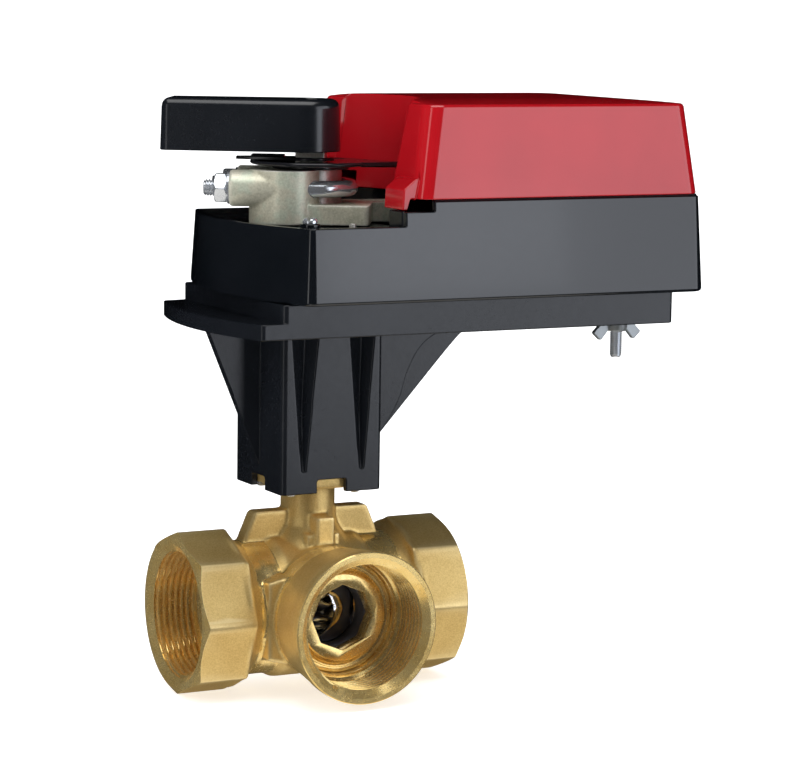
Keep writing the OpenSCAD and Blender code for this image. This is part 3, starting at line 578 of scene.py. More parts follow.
def casting_shapes():
    shapes = run_end("left") + run_end("right")
    barrel = lathe("barrel", [(24.6, -18.5), (25.8, -16), (25.8, 16), (24.6, 18.5)], 64)
    shapes.append(turned(barrel, "Y", 90))
    profile = [(22.0, 0), (24.3, 22), (25.3, 32), (26.6, 42), (27.3, 46), (27.3, BRANCH_FACE + 2)]
    shapes.append(on_port(lathe("branch", profile, 72), "branch"))
    profile = [(17.0, 14), (15.6, 22.5), (12.6, 26.4), (10.6, 29.6), (NECK_R, 33), (NECK_R, FLANGE_Z + 1)]
    shapes.append(lathe("shoulder", profile, 64))
    shapes.append(prism("flange", filleted(square(FLANGE_HALF), 2.5), FLANGE_Z, FLANGE_TOP + 2))
    # Cast lugs at the sides of the neck, drawn from the front and thick from front to back
    lug = [(0, 18), (27.2, 18), (26.8, 25.6), (22.8, 34.8), (21.6, 35.4), (0, 35.4)]
    for s in (-1, 1):
        shapes.append(turned(prism("lug", mirrored(lug, s), -3.4, 3.4), "X", 90))
    # Small raised blocks at the front and back of the neck
    for s in (-1, 1):
        shapes.append(block("pad", (-3.6, s * 12 - 3.6, 20), (3.6, s * 12 + 3.6, 34.0)))
        shapes.append(block("step", (-6.5, s * 10 - 4, 18), (6.5, s * 10 + 4, 27.5)))
    # Flat raised panels between the branch and the run, whose corners catch the light
    panel = [(-26.8, -14.5), (-19.0, -16.5), (-17.6, 0), (-19.0, 15.5), (-26.8, 13.5)]
    for s in (-1, 1):
        for back, top in ((0, 25.4), (180, 25.0)):
            p = prism("panel", mirrored(panel, s), 10.0, top, high=0.6)
            shapes.append(turned(turned(p, "X", 90), "Z", back))
    return shapes


def port_cutter(side):
    """Everything bored out from a port: chamfer, screw thread, relief and the seat for the retainer."""
    mouth = MOUTH[side]
    wall_end = mouth - MOUTH_CHAMFER - THREAD_LEN
    seat = RETAINER_Z + RETAINER_T
    profile = [(CAVITY_R - 0.02, 0), (CAVITY_R - 0.02, wall_end - 0.8), (PORT_R + 0.2, wall_end + 0.6),
               (PORT_R, wall_end + 0.9), (PORT_R, mouth - MOUTH_CHAMFER), (CHAMFER_R, mouth),
               (CHAMFER_R, mouth + 4)]
    bore = lathe("bore", profile, 128)
    groove = lathe("groove", [(19, seat + 0.3), (21.6, seat + 0.3), (21.6, seat + 1.5), (19, seat + 1.5)], 96)
    thread = threaded("thread", PORT_R - 0.25, PORT_R + THREAD_DEPTH, THREAD_PITCH, wall_end + 0.7,
                      mouth - 0.2, 128, 10, 0.8)
    return [on_port(o, side) for o in (bore, groove, thread)]


def mouth_facing(side):
    """A turning tool's path: faces the mouth flat and takes the corners off outside it."""
    mouth, start_r = MOUTH[side], FACE_R[side]
    profile = [(start_r, mouth), (start_r + 1.2, mouth - 0.9), (start_r + 4.4, mouth - 2.7),
               (40, mouth - 2.7), (40, mouth + 6), (5, mouth + 6), (5, mouth)]
    return on_port(lathe("facing", profile, 128, closed=True), side)


def valve_casting():
    body = cast(joined("casting", casting_shapes()), 0.62, 7)
    body.modifiers.new("thin", "DECIMATE").ratio = 0.5
    flatten(body)
    tools = [mouth_facing(side) for side in SIDES]
    tools.append(block("top", (-30, -30, FLANGE_TOP), (30, 30, FLANGE_TOP + 9)))
    for side in SIDES:
        tools += port_cutter(side)
    tools.append(lathe("stem_hole", [(6.05, 10), (6.05, 60)], 48))
    tools.append(lathe("chamber", [(9.05, 0), (9.05, 24)], 48))
    tools += [moved(lathe("screw_hole", [(2.05, 40), (2.05, 60)], 24), x, y) for x, y in NECK_SCREWS]
    return boolean(body, tools)


def is_machined(centre, normal):
    """Whether a point of the casting has been cut by a tool, so that it is bright and not blasted."""
    x, y, z = centre
    from_run, from_branch = math.hypot(y, z), math.hypot(x, z)
    if abs(x) > RUN_HALF - FACED and from_run < 30.5 and abs(normal[0]) > 0.3:
        return True
    if -y > BRANCH_FACE - FACED and -normal[1] > 0.3:
        return True
    if abs(x) > BORED_FROM and from_run < BORED_R:
        return True
    if -y > BORED_FROM and from_branch < BORED_R:
        return True
    return z > FLANGE_TOP - 0.02 or math.hypot(x, y) < 6.2


def make_valve_body():
    body = valve_casting()
    put(body, "valve_casting", "valve", "cast_brass", ["valve_body"], angle=32)
    body.data.materials.append(MAT["turned_brass"])
    back = VALVE.inverted()
    for face in body.data.polygons:
        if is_machined(back @ face.center, face.normal):
            face.material_index = 1


def make_retainer(side):
    """Threaded ring with an octagonal key hole, a turned groove and a dished face."""
    outer = CAVITY_R - 0.05
    top = RETAINER_T
    profile = [(5, 0), (outer - 0.4, 0), (outer, 0.4), (outer, top - 2.6), (outer - 0.5, top - 2.1),
               (18.6, top - 2.1), (18.2, top - 2.5), (17.6, top - 2.5), (17.2, top - 2.0), (16.4, top - 0.5),
               (15.9, top - 0.1), (15.4, top), (5, top)]
    ring = lathe("ring", profile, 128)
    key = prism("key", polygon(12.0, 8), -1, top + 1)
    boolean(ring, key)
    eased(ring, 0.18, 2, 35)
    ring = on_port(moved(ring, 0, 0, RETAINER_Z), side)
    put(ring, f"{side}_retainer_ring", "valve", "turned_brass", [f"{side}_retainer"], angle=30)


make_valve_body()
for port in SIDES:
    make_retainer(port)
for port in SIDES:
    put(from_node(f"{port}_seat", 0.25), f"{port}_seat_ring", "valve", "filled_ptfe", [f"{port}_seat"])
put(from_node("ball", 0.3, 3, 25), "chromed_ball", "drive", "chromed_brass", ["ball"], angle=25)

# -------- bracket

COLUMN_HALF = 20.0
COLUMN_Z = BRACKET_LOW.z
COLUMN_INNER = 15.5
SEAT_HALF = 17.35  # recess in the column's foot, over the valve's flange
NOTCH_HALF = 5.75
NOTCH_TOP = 48.5
PLATE_Z = 102.4
PLATE_T = 5.6
BAND_X = -31.0
CASE_Z = BASE_LOW.z
PLATE_HALF_W = BRACKET_HIGH.y
PLATE_END_X = BRACKET_HIGH.x
PLATE_LEFT_X = BRACKET_LOW.x
PLATE_ARC_R = 136.0
STUD_X, STUD_Y = 120.7, -15.0
# Where a V-shaped hollow's apex is, and its left and right edges at the top
HOLLOWS = ((-11.4, -16.6, -5.4), (11.6, 6.2, 16.8))
# Height, how far the hollow has widened, and its depth
HOLLOW_LEVELS = ((51.6, 0.0, 0.9), (60, 0.165, 2.6), (74, 0.44, 4.2), (PLATE_Z - 0.4, 1.0, 4.2))
# Rectangles under the plate (x and y from and to) and their depths
POCKETS = (((44, 10, 80, 37), 8.5), ((84, 10, 116, 37), 8.5), ((-26, 23.5, 14, 38), 4))


def bowed_outline(left_x, arc_r, right_x, half_w, corner, n_arc=28, n=7):
    """Plan with a bowed left end: an arc centred on the X axis, two straight sides and round corners."""
    swing = math.degrees(math.asin(half_w / arc_r))
    bow = arc(left_x + arc_r, 0, arc_r, 180 - swing, 180 + swing, n_arc)
    points = bow + [(right_x, -half_w), (right_x, half_w)]
    radii = [0] * len(points)
    radii[0] = radii[len(bow) - 1] = corner * 0.8
    radii[-1] = radii[-2] = corner
    # The bow's second and second-last points would lie inside its rounded corners
    keep = [i for i in range(len(points)) if i not in (1, 2, len(bow) - 2, len(bow) - 3)]
    return filleted([points[i] for i in keep], [radii[i] for i in keep], n)


def column():
    body = prism("column", filleted(square(COLUMN_HALF), 2.2, 6), COLUMN_Z, PLATE_Z + 1)
    tools = [prism("seat", filleted(square(SEAT_HALF), 1.5, 4), COLUMN_Z - 1, FLANGE_TOP)]
    inner = filleted(square(COLUMN_INNER), 2.0, 4)
    tools.append(prism("inner", inner, FLANGE_TOP + 3.8, PLATE_Z - 0.5))
    tools.append(lathe("throat", [(8, 40), (8, 90)], 48))
    tools += [moved(lathe("hole", [(2.2, 40), (2.2, 90)], 24), x, y) for x, y in NECK_SCREWS]
    w, top, chamfer = NOTCH_HALF, NOTCH_TOP, 0.6
    notch = [(-w, COLUMN_Z - 1), (w, COLUMN_Z - 1), (w, top - chamfer), (w - chamfer, top),
             (chamfer - w, top), (-w, top - chamfer)]
    for turn in (0, 90, 180, 270):
        cut = turned(prism("notch", notch, COLUMN_HALF - 4, COLUMN_HALF + 1), "X", 90)
        tools.append(turned(cut, "Z", turn))
    boolean(body, tools)
    # V-shaped hollows: their floor runs in from the left edge, and a steeper wall comes out to the right edge
    hollows = []
    for turn in (0, 180):
        for apex, left, right in HOLLOWS:
            rings = []
            for z, t, depth in HOLLOW_LEVELS:
                x0 = apex - 1.0 + (left - apex + 1.0) * t
                x1 = apex + 1.0 + (right - apex - 1.0) * t
                middle = x0 + (x1 - x0) * 0.66
                rings.append([(x0 - 0.3, -COLUMN_HALF - 0.4, z), (x1 + 0.2, -COLUMN_HALF - 0.4, z),
                              (middle, -COLUMN_HALF + depth, z)])
            hollows.append(turned(loft("hollow", rings), "Z", turn))
    return boolean(body, hollows)


def curve_through(points, n):
    """Smooth curve through points of a plane, by Catmull and Rom's rule."""
    p = [Vector(points[0]) * 2 - Vector(points[1])] + [Vector(q) for q in points]
    p.append(p[-1] * 2 - p[-2])
    out = []
    for i in range(1, len(p) - 2):
        a, b, c, d = p[i - 1:i + 3]
        for k in range(n):
            t = k / n
            out.append(tuple(0.5 * (2 * b + (c - a) * t + (2 * a - 5 * b + 4 * c - d) * t * t
                                    + (3 * b - a - 3 * c + d) * t**3)))
    out.append(tuple(p[-2]))
    return out


def gussets():
    """Ribs in the middle plane: a straight one on the left, a thin swept one and a wide one on the right."""
    top = PLATE_Z + 0.8
    left = [(-18.5, top), (-41.3, top), (-20.2, 52.7), (-18.5, 51.4)]
    swept = curve_through([(19.5, 51.2), (38, 71.6), (58, 93.2), (64, 98), (75, top)], 6)
    wide = curve_through([(19.5, 55), (28, 65), (33.5, 74.5), (37, 85), (44, 95), (60, top)], 6)
    parts = []
    for outline, half in ((left, 1.5), (swept + [(19.5, top)], 1.6), (wide + [(19.5, top)], 7.2)):
        parts.append(turned(prism("rib", outline, -half, half), "X", 90))
    return parts


def make_bracket():
    body = column()
    plan = bowed_outline(PLATE_LEFT_X, PLATE_ARC_R, PLATE_END_X, PLATE_HALF_W, 2.4)
    plate = prism("plate", plan, PLATE_Z, PLATE_Z + PLATE_T)
    band = filleted(rectangle(BAND_X, -PLATE_HALF_W, PLATE_END_X, PLATE_HALF_W), 2.4, 7)
    band = prism("band", band, PLATE_Z + PLATE_T - 0.5, CASE_Z)
    boolean(body, [plate, band] + gussets(), "UNION")
    tools = [lathe("bush", [(15, PLATE_Z - 1), (15, CASE_Z + 1)], 64)]
    tools.append(moved(lathe("slot", [(2.7, 90), (2.7, 120)], 24), STUD_X, STUD_Y))
    # Pockets that lighten the underside of the plate, either side of the middle
    for corners, depth in POCKETS:
        for s in (-1, 1):
            pocket = filleted(mirrored(rectangle(*corners), s, "y"), 3, 5)
            tools.append(prism("pocket", pocket, PLATE_Z - 1, PLATE_Z + depth))
    boolean(body, tools)
    eased(body, 0.45, 3, 28, 0.4)
    put(body, "bracket_moulding", "valve", "bracket_plastic", ["mounting_bracket"], angle=35, weighted=True)


make_bracket()

# -------- housing

WALL = 2.6
DRAFT = 2.2
JOINT_Z = 150.2
RIM_Z = 141.0
LEDGE_Z = 146.0
STEP_X = 13.2
LEDGE_END_X = 24.5
CASE_ARC_R = 122.0
DECK_Z = 139.0
GLAND_X, GLAND_Z = 105.0, 132.0
COVER_SCREWS = [(x, y) for x in (46, 127) for y in (-45.2, 45.2)]


def on_back_wall(obj):
    """Turns a shape drawn along +Z so that it points out of the back wall, at the gland's place."""
    return moved(turned(obj, "X", -90), GLAND_X, 0, GLAND_Z)


def make_base():
    outline = bowed_outline(BASE_LOW.x, CASE_ARC_R, BASE_HIGH.x, BASE_HIGH.y, 5.5, 32, 9)
    lean = [(0, 1.1), (0.18, 0.55), (0.6, 0.15), (1.2, 0.0)]
    body = leaning("base", outline, [(CASE_Z + z, d) for z, d in lean] + [(JOINT_Z, DRAFT)])
    cavity = leaning("cavity", outline, [(CASE_Z + WALL, WALL + 0.1), (JOINT_Z + 2, DRAFT + WALL + 0.2)])
    steps = [block("rim", (-80, -80, RIM_Z), (STEP_X, 80, JOINT_Z + 9)),
             block("ledge", (-80, -80, LEDGE_Z), (LEDGE_END_X, 80, JOINT_Z + 9))]
    # A shallow step under the joint, all round under the cover, gives the dark line between the two halves
    lip_outer = leaning("lip", outline, [(JOINT_Z - 0.7, -4), (JOINT_Z + 4, -4)])
    lip_inner = leaning("lip_in", outline, [(JOINT_Z - 1.2, DRAFT + 0.55), (JOINT_Z + 5, DRAFT + 0.75)])
    boolean(lip_outer, lip_inner)
    holes = [lathe("bush", [(15, CASE_Z - 1), (15, CASE_Z + 8)], 64)]
    holes.append(on_back_wall(lathe("gland", [(8, 40), (8, 60)], 48)))
    holes += [moved(lathe("sink", [(2.9, CASE_Z - 1), (2.9, CASE_Z + 2)], 32), x, y) for x, y in COVER_SCREWS]
    boolean(body, [cavity] + steps + [lip_outer] + holes)
    eased(body, 0.4, 3, 28, 0.3)
    put(body, "base_moulding", "valve", "housing_plastic", ["housing_base"], angle=35, weighted=True)


make_base()


def cover_outline(front, back, right, half_w, corner):
    return filleted([(front, -half_w), (right, -half_w), (right, half_w), (back, half_w)], corner, 9)


def blend(a, b, t):
    return [(p[0] + (q[0] - p[0]) * t, p[1] + (q[1] - p[1]) * t) for p, q in zip(a, b)]


COVER_FRONT = 18.0
COVER_BACK = 21.5
COVER_LEAN = 5.0
COVER_TOP = 183.0
COVER_EDGE = 1.1
COVER_WALL = 2.3
CROWN = COVER_HIGH.z - COVER_TOP - 0.15
CROWN_RUN_IN = 3.2
COVER_HALF_W = COVER_HIGH.y
COVER_END = COVER_HIGH.x
BITE = [(31.6, 148.2), (39.4, 188.2)]  # the round bite over the clamp, as radius and height


def cover_solid(name, shrink, floor):
    """The cover's outer form, moved in by shrink: leaning walls, an eased edge and a crowned top."""
    low = cover_outline(COVER_FRONT, COVER_BACK, COVER_END, COVER_HALF_W, 6.0)
    front, back = COVER_FRONT + COVER_LEAN, COVER_BACK + COVER_LEAN
    high = cover_outline(front, back, COVER_END - 4.2, COVER_HALF_W - 3.2, 6.5)
    top = COVER_TOP - shrink
    wall_top = top - COVER_EDGE
    wall = blend(low, high, (wall_top - JOINT_Z) / (COVER_TOP - JOINT_Z))
    rings = [at_height(inset(low, shrink), floor), at_height(inset(wall, shrink), wall_top)]
    for c, s in quarter(4)[1:]:
        rings.append(at_height(inset(high, COVER_EDGE * c + shrink), top - COVER_EDGE * s))
    # The crown: rings that run in to a smaller flat top, and rise along a parabola
    plan = inset(high, COVER_EDGE + shrink)
    into = CROWN_RUN_IN + shrink
    flat = cover_outline(front + into, back + into, COVER_END - 28 - shrink, COVER_HALF_W - 24 - shrink, 6.0)
    for t in (0.1, 0.22, 0.36, 0.5, 0.66, 0.83, 1.0):
        rings.append(at_height(blend(plan, flat, t), top + CROWN * (1 - (1 - t) ** 1.6)))
    return loft(name, rings)


def bite(grow):
    return lathe("bite", [(r + grow, z) for r, z in BITE], 160)


def make_cover():
    body = cover_solid("cover", 0, JOINT_Z + 0.02)
    boolean(body, bite(0))
    hollow = cover_solid("hollow", COVER_WALL, JOINT_Z - 1)
    boolean(hollow, bite(COVER_WALL))
    nub = [(13.8, LEDGE_Z + 0.4), (15.6, LEDGE_Z + 0.4), (16.8, JOINT_Z + 0.1), (20, JOINT_Z + 0.1),
           (20, 157.4), (18.7, 157.2), (14.2, 153.6)]
    nub = turned(prism("nub", nub, 31, 45.5), "X", 90)
    boolean(body, nub, "UNION")
    boolean(body, hollow)
    gap = block("gap", (28, -4.6, JOINT_Z - 1), (40, 4.6, JOINT_Z + 6))
    boolean(body, turned(gap, "Z", 42))
    eased(body, 0.45, 3, 30, 0.3)
    put(body, "cover_moulding", "valve", "cover_plastic", ["cover"], angle=35, weighted=True)


make_cover()

# -------- clamp, indicator and handle

SHAFT_R = 11.0
U_BOLT_Z = 152.0
U_BOLT_R = 3.0
BEND_R = 14.1
BOSS_END = 27.5
CLAMP_Z = 139.5
CLAMP_TOP = 158.5
BLOCK_TOP = 146.6  # top of the clamp's low block
JAW_X = 8.6
JAW_R = 12.8
LEGS = ((-1, "a"), (1, "b"))  # the U-bolt's legs and their letters


def beside_shaft(obj, s, x=0.0):
    """Turns a shape drawn along +Z so that it lies on one leg of the U-bolt."""
    return moved(turned(obj, "Y", 90), x, s * BEND_R, U_BOLT_Z)


def make_clamp():
    """Die-cast jaw with its two bolt bosses, low block and stop arm, melted together as a casting."""
    jaw = arc(JAW_X, -8, JAW_R, -180, 0, 32) + arc(JAW_X, 8, JAW_R, 0, 180, 32)
    parts = [prism("jaw", jaw, CLAMP_Z, CLAMP_TOP + 1)]
    parts.append(prism("low", filleted(rectangle(-22, -17, 16, 17), 1.6, 4), CLAMP_Z, BLOCK_TOP))
    profile = [(6.5, 10), (6.5, BOSS_END - 0.6), (6.0, BOSS_END + 0.3), (5.6, BOSS_END + 0.5)]
    parts += [beside_shaft(lathe("boss", profile, 48), s) for s in (-1, 1)]
    parts.append(turned(block("arm", (12, -5, CLAMP_Z), (32, 5, 147.1)), "Z", -161))
    body = cast(joined("clamp", parts), 0.4, 4)
    tools = [block("face", (-40, -40, CLAMP_TOP), (60, 60, CLAMP_TOP + 9))]
    bore = [(SHAFT_R + 0.02, 100), (SHAFT_R + 0.02, CLAMP_TOP - 0.7), (SHAFT_R + 1, CLAMP_TOP + 1)]
    tools.append(lathe("shaft", bore, 96))
    tools.append(block("notch", (-31, -SHAFT_R, BLOCK_TOP + 0.02), (0, SHAFT_R, 180)))
    for s in (-1, 1):
        bolt = lathe("bolt", [(U_BOLT_R + 0.15, -20), (U_BOLT_R + 0.15, 60)], 32)
        tools.append(beside_shaft(bolt, s))
        tools.append(block("spot", (BOSS_END, s * BEND_R - 8, 140), (40, s * BEND_R + 8, 165)))
    boolean(body, tools)
    put(body, "clamp_body", "drive", "zinc_casting", ["clamp_casting"], DRIVE, 32)


def swept(name, centres, radius):
    """Round bar along a path of (point, direction) pairs in the plane z = U_BOLT_Z."""
    rings = []
    for (x, y), (dx, dy) in centres:
        side = Vector((-dy, dx, 0)).normalized()
        rings.append([tuple(Vector((x, y, U_BOLT_Z)) + side * a + Vector((0, 0, b)))
                      for a, b in polygon(radius, 24)])
    return loft(name, rings)


def make_u_bolt():
    path = [((24.5, BEND_R), (-1, 0)), ((8, BEND_R), (-1, 0))]
    for x, y in arc(0, 0, 1, 90, 270, 24):
        path.append(((BEND_R * x, BEND_R * y), (-y, x)))
    path += [((8, -BEND_R), (1, 0)), ((24.5, -BEND_R), (1, 0))]
    parts = [swept("bend", path, U_BOLT_R)]
    for s, tag in LEGS:
        rod = threaded("rod", 2.45, U_BOLT_R - 0.02, 1.0, 24.0, 37.0, 48, 8, 1.0)
        parts.append(beside_shaft(rod, s))
        profile = [(3.1, 0), (5.6, 0), (5.7, 0.15), (5.7, 0.9), (5.5, 1.0), (3.1, 1.0)]
        washer = beside_shaft(lathe("washer", profile, 48, True), s, BOSS_END)
        nodes = ["clamp_washers"] if s > 0 else []
        put(washer, f"clamp_washer_{tag}", "drive", "plated_steel", nodes, DRIVE)
        hex_nut = beside_shaft(turned(nut("nut", 10.0, 4.5, 2.9), "Z", 30), s, BOSS_END + 1)
        nodes = ["clamp_nuts"] if s > 0 else []
        put(hex_nut, f"clamp_nut_{tag}", "drive", "plated_steel", nodes, DRIVE, 30)
    put(joined("u_bolt", parts), "u_bolt_bar", "drive", "plated_steel", ["u_bolt"], DRIVE, 50)


make_clamp()
make_u_bolt()

INDICATOR_Z = 160.0
POINTER_Z = 161.5
SOCKET_HALF = 5.4  # of the square holes over the shaft's square


def socket(low, high):
    return prism("hole", filleted(square(SOCKET_HALF), 0.8, 4), low, high)


def make_indicator():
    """Thin dished disc with a folded pointer, on a collar."""
    profile = [(4, -1.4), (13.6, -1.4), (14, -1.0), (14, 0), (20.6, 0), (21.6, 0.25), (22, 0.8), (21.7, 1.4),
               (21.2, 1.5), (19.9, 1.15), (4, 1.0)]
    disc = lathe("disc", [(r, INDICATOR_Z + z) for r, z in profile], 96)
    wing = [(-11, -15.4), (-11, 15.4), (-20, 9.6), (-28, 3.6), (-33.5, 1.4), (-33.5, -1.4), (-28, -3.6),
            (-20, -9.6)]
    wing = prism("wing", wing, INDICATOR_Z + 0.1, INDICATOR_Z + 1.5)
    fold = [(-18, -3.0), (-18, 3.0), (-33, 0.7), (-33, -0.7)]
    fold = prism("fold", fold, INDICATOR_Z - 0.6, INDICATOR_Z + 0.5)
    boolean(disc, [wing, fold], "UNION")
    boolean(disc, socket(150, 170))
    eased(disc, 0.15, 2, 30, 0.3)
    put(disc, "indicator_plate", "drive", "indicator_plastic", ["indicator_disc"], DRIVE, 30, True)
    arm = [(0, -5), (9, -4.6), (20, -3.4), (27, -0.9), (27, 0.9), (20, 3.4), (9, 4.6), (0, 5)]
    arm = prism("arm", arm, POINTER_Z, POINTER_Z + 1.2, high=0.3)
    profile = [(3, 0), (8.4, 0), (8.4, 0.9), (8.1, 1.2), (3, 1.2)]
    hub = lathe("hub", [(r, POINTER_Z + z) for r, z in profile], 64)
    tab = prism("tab", rectangle(9.6, -2.6, 21.4, 2.6), POINTER_Z + 0.5, POINTER_Z + 2.0, high=0.3)
    boolean(arm, [hub, tab], "UNION")
    boolean(arm, socket(150, 170))
    eased(arm, 0.12, 2, 30, 0.3)
    put(arm, "pointer_arm", "drive", "indicator_plastic", ["pointer"], DRIVE, 30, True)


make_indicator()

HANDLE_Z = HANDLE_LOW.z
HANDLE_TOP = HANDLE_HIGH.z
HANDLE_HUB_R = 13.7
HANDLE_HUB_X = 3.2
HANDLE_REACH = 53.4
HANDLE_HALF_W = 11.5
HANDLE_CORNER = 3.0
HANDLE_FILLET = 3.4


def make_handle():
    """Bar handle: a round hub, slightly tapered arm and square end, with a broad fillet round its top."""
    half, corner, fillet = HANDLE_HALF_W, HANDLE_CORNER, HANDLE_FILLET
    lean = math.degrees(math.asin((HANDLE_HUB_R - half) / (HANDLE_REACH - HANDLE_HUB_X)))
    outline = arc(HANDLE_HUB_X, 0, HANDLE_HUB_R, 90 - lean, 270 + lean, 26)
    outline += arc(HANDLE_REACH - corner, corner - half, corner, -90, 0, 7)
    outline += arc(HANDLE_REACH - corner, half - corner, corner, 0, 90, 7)
    levels = [(HANDLE_Z, 0.35), (HANDLE_Z + 0.12, 0.1), (HANDLE_Z + 0.4, 0.0), (HANDLE_TOP - fillet, 0.45)]
    levels += [(HANDLE_TOP - fillet * s, 0.45 + fillet * 0.86 * c) for c, s in quarter(7)[1:]]
    body = leaning("handle", outline, levels)
    screw = [(2.2, 170), (2.2, 178), (4.8, 178.0), (4.8, HANDLE_TOP - 0.4), (5.3, HANDLE_TOP + 0.2),
             (5.3, HANDLE_TOP + 2)]
    tools = [socket(HANDLE_Z - 1, 173), lathe("screw", screw, 48)]
    # Cored-out pocket in the underside of the arm, with a rib left across it
    for x0, x1 in ((16, 30), (32, HANDLE_REACH - 3)):
        pocket = filleted(rectangle(x0, -8.4, x1, 8.4), 1.5, 4)
        tools.append(prism("pocket", pocket, HANDLE_Z - 1, HANDLE_Z + 13))
    boolean(body, tools)
    put(body, "handle_moulding", "drive", "handle_plastic", ["handle"], DRIVE, 35, True)


make_handle()

# -------- small parts

# Where each deck screw is, the height of its boss and how its slot is turned
DECK_SCREWS = ((-18.4, -38, 3.0, 55), (9, 40, 0.0, -20))


def slotted_screw(radius, length, head_r, head_h, pitch, slot_w=1.1):
    """Pan-head screw standing on its tip at z = 0, with a thread, a domed head and a slot."""
    rod = threaded("rod", radius * 0.8, radius * 0.99, pitch, 0.3, length, 32, 8, 0.8)
    tip = lathe("tip", [(radius * 0.55, 0), (radius * 0.8, 0.5), (radius * 0.8, 1.5)], 32)
    profile = [(0.9, 0), (1, 0.2 / head_h), (1, 0.45), (0.93, 0.75), (0.72, 0.95), (0.4, 1)]
    head = lathe("head", [(head_r * r, length + head_h * z) for r, z in profile], 48)
    reach, top = head_r + 1, length + head_h
    boolean(head, block("slot", (-reach, -slot_w / 2, length + head_h * 0.5), (reach, slot_w / 2, top + 1)))
    return joined("screw", [rod, tip, head])


def make_stud():
    rod = threaded("rod", 1.95, 2.38, 0.8, 87.2, 114.0, 48, 8, 1.0)
    tip = lathe("tip", [(1.5, 86.7), (1.95, 87.2), (1.95, 88.5)], 48)
    seat = CASE_Z + WALL
    head = moved(nut("head", 8.0, 3.2, 1.0), 0, 0, seat)
    shank = lathe("shank", [(1.9, 112), (1.9, seat + 1.5)], 32)
    stud = moved(joined("stud", [rod, tip, head, shank]), STUD_X, STUD_Y)
    put(stud, "stud_bolt", "valve", "plated_steel", ["stud"], angle=50)
    profile = [(2.45, 0), (5.0, 0), (5.2, 0.15), (5.2, 0.85), (5.0, 1.0), (2.45, 1.0)]
    washer = moved(lathe("washer", profile, 48, True), STUD_X, STUD_Y, PLATE_Z - 1)
    put(washer, "stud_plain_washer", "valve", "plated_steel", ["stud_washer"])


def make_wing_nut():
    """Pressed wing nut: a round boss and two swept wings with rounded tips, melted together."""
    top = PLATE_Z - 1.05
    boss = lathe("boss", [(3.7, top - 4.6), (4.0, top - 4.2), (4.6, top - 0.4), (4.4, top)], 48)
    parts = [moved(boss, STUD_X, STUD_Y)]
    wing = [(1.5, -0.6), (5.6, -0.4), (10.2, -4.9), (9.9, -5.6), (7.5, -7.8), (6.8, -7.7), (3.2, -3.4),
            (1.5, -3.0)]
    wing = filleted(wing, [0, 1.6, 0.3, 0.4, 0.3, 0.3, 1.2, 0], 4)[::-1]
    for s in (-1, 1):
        plate = prism("wing", mirrored(wing, s), -1.0, 1.0, low=0.2, high=0.2)
        parts.append(moved(turned(plate, "X", 90), STUD_X, STUD_Y, top))
    body = cast(joined("wing_nut", parts), 0.14, 3)
    hole = moved(lathe("hole", [(2.45, -30), (2.45, 30)], 32), STUD_X, STUD_Y, top)
    boolean(body, [hole, block("face", (STUD_X - 20, STUD_Y - 20, top), (STUD_X + 20, STUD_Y + 20, top + 5))])
    put(body, "wing_nut_casting", "wing_nut", "plated_steel", ["wing_nut"], material=MAT["dull_zinc"])


def make_screws():
    parts = []
    under_head = FLANGE_TOP + 3.8
    for x, y in NECK_SCREWS:
        rod = threaded("rod", 1.62, 1.98, 0.7, 42.4, under_head, 32, 8, 0.8)
        tip = lathe("tip", [(1.2, 42.0), (1.62, 42.5), (1.62, 43.6)], 32)
        profile = [(2.9, 0), (3.2, 0.3), (3.2, 2.6), (2.7, 3.0)]
        head = lathe("head", [(r, under_head + z) for r, z in profile], 32)
        parts += [moved(o, x, y) for o in (rod, tip, head)]
    screws = joined("bracket_screws", parts)
    put(screws, "bracket_screw_set", "valve", "plated_steel", ["bracket_screws"], angle=50)
    parts = []
    for x, y, boss, turn in DECK_SCREWS:
        screw = turned(slotted_screw(1.55, 8.0, 2.7, 2.0, 0.6), "Z", turn)
        parts.append(moved(screw, x, y, DECK_Z + boss - 8))
    put(joined("deck_screws", parts), "deck_screw_set", "valve", "plated_steel", ["deck_screws"])
    screw = moved(turned(slotted_screw(1.98, 12.0, 4.2, 3.0, 0.7, 1.2), "Z", 35), 0, 0, 166)
    put(screw, "handle_cap_screw", "drive", "plated_steel", ["handle_screw"], DRIVE)


def make_gland():
    """Cable gland: threaded stem, hexagon, ribbed dome nut and a rubber seal."""
    body = prism("hex", filleted(hexagon(20.6), 0.8, 3), 51.25, 57.6, low=0.4, high=0.4)
    stem = threaded("stem", 7.2, 7.88, 1.5, 43.05, 51.4, 64, 8, 0.7)
    profile = [(9.9, 57.5), (10.1, 57.9), (10.0, 60.2), (9.5, 63.4), (8.7, 65.4), (7.4, 66.5), (6.0, 66.6)]
    dome = lathe("dome", profile, 96)
    ribs = [turned(block("rib", (9.35, -0.75, 58.3), (12, 0.75, 64.5)), "Z", 22.5 * k) for k in range(16)]
    boolean(dome, ribs)
    bore = lathe("bore", [(4.6, 40), (4.6, 64.5), (5.6, 66.0), (5.9, 70)], 64)
    shell = boolean(boolean(body, [dome, stem], "UNION"), bore)
    eased(shell, 0.15, 2, 35, 0.3)
    put(on_back_wall(shell), "gland_shell", "valve", "small_black_plastic", ["cable_gland"], angle=35)
    profile = [(4.0, 58), (4.0, 65.6), (4.3, 66.0), (5.0, 65.8), (5.2, 65.0), (4.65, 64.4), (4.65, 58)]
    seal = on_back_wall(lathe("seal", profile, 64, True))
    put(seal, "gland_seal", "valve", "black_rubber")


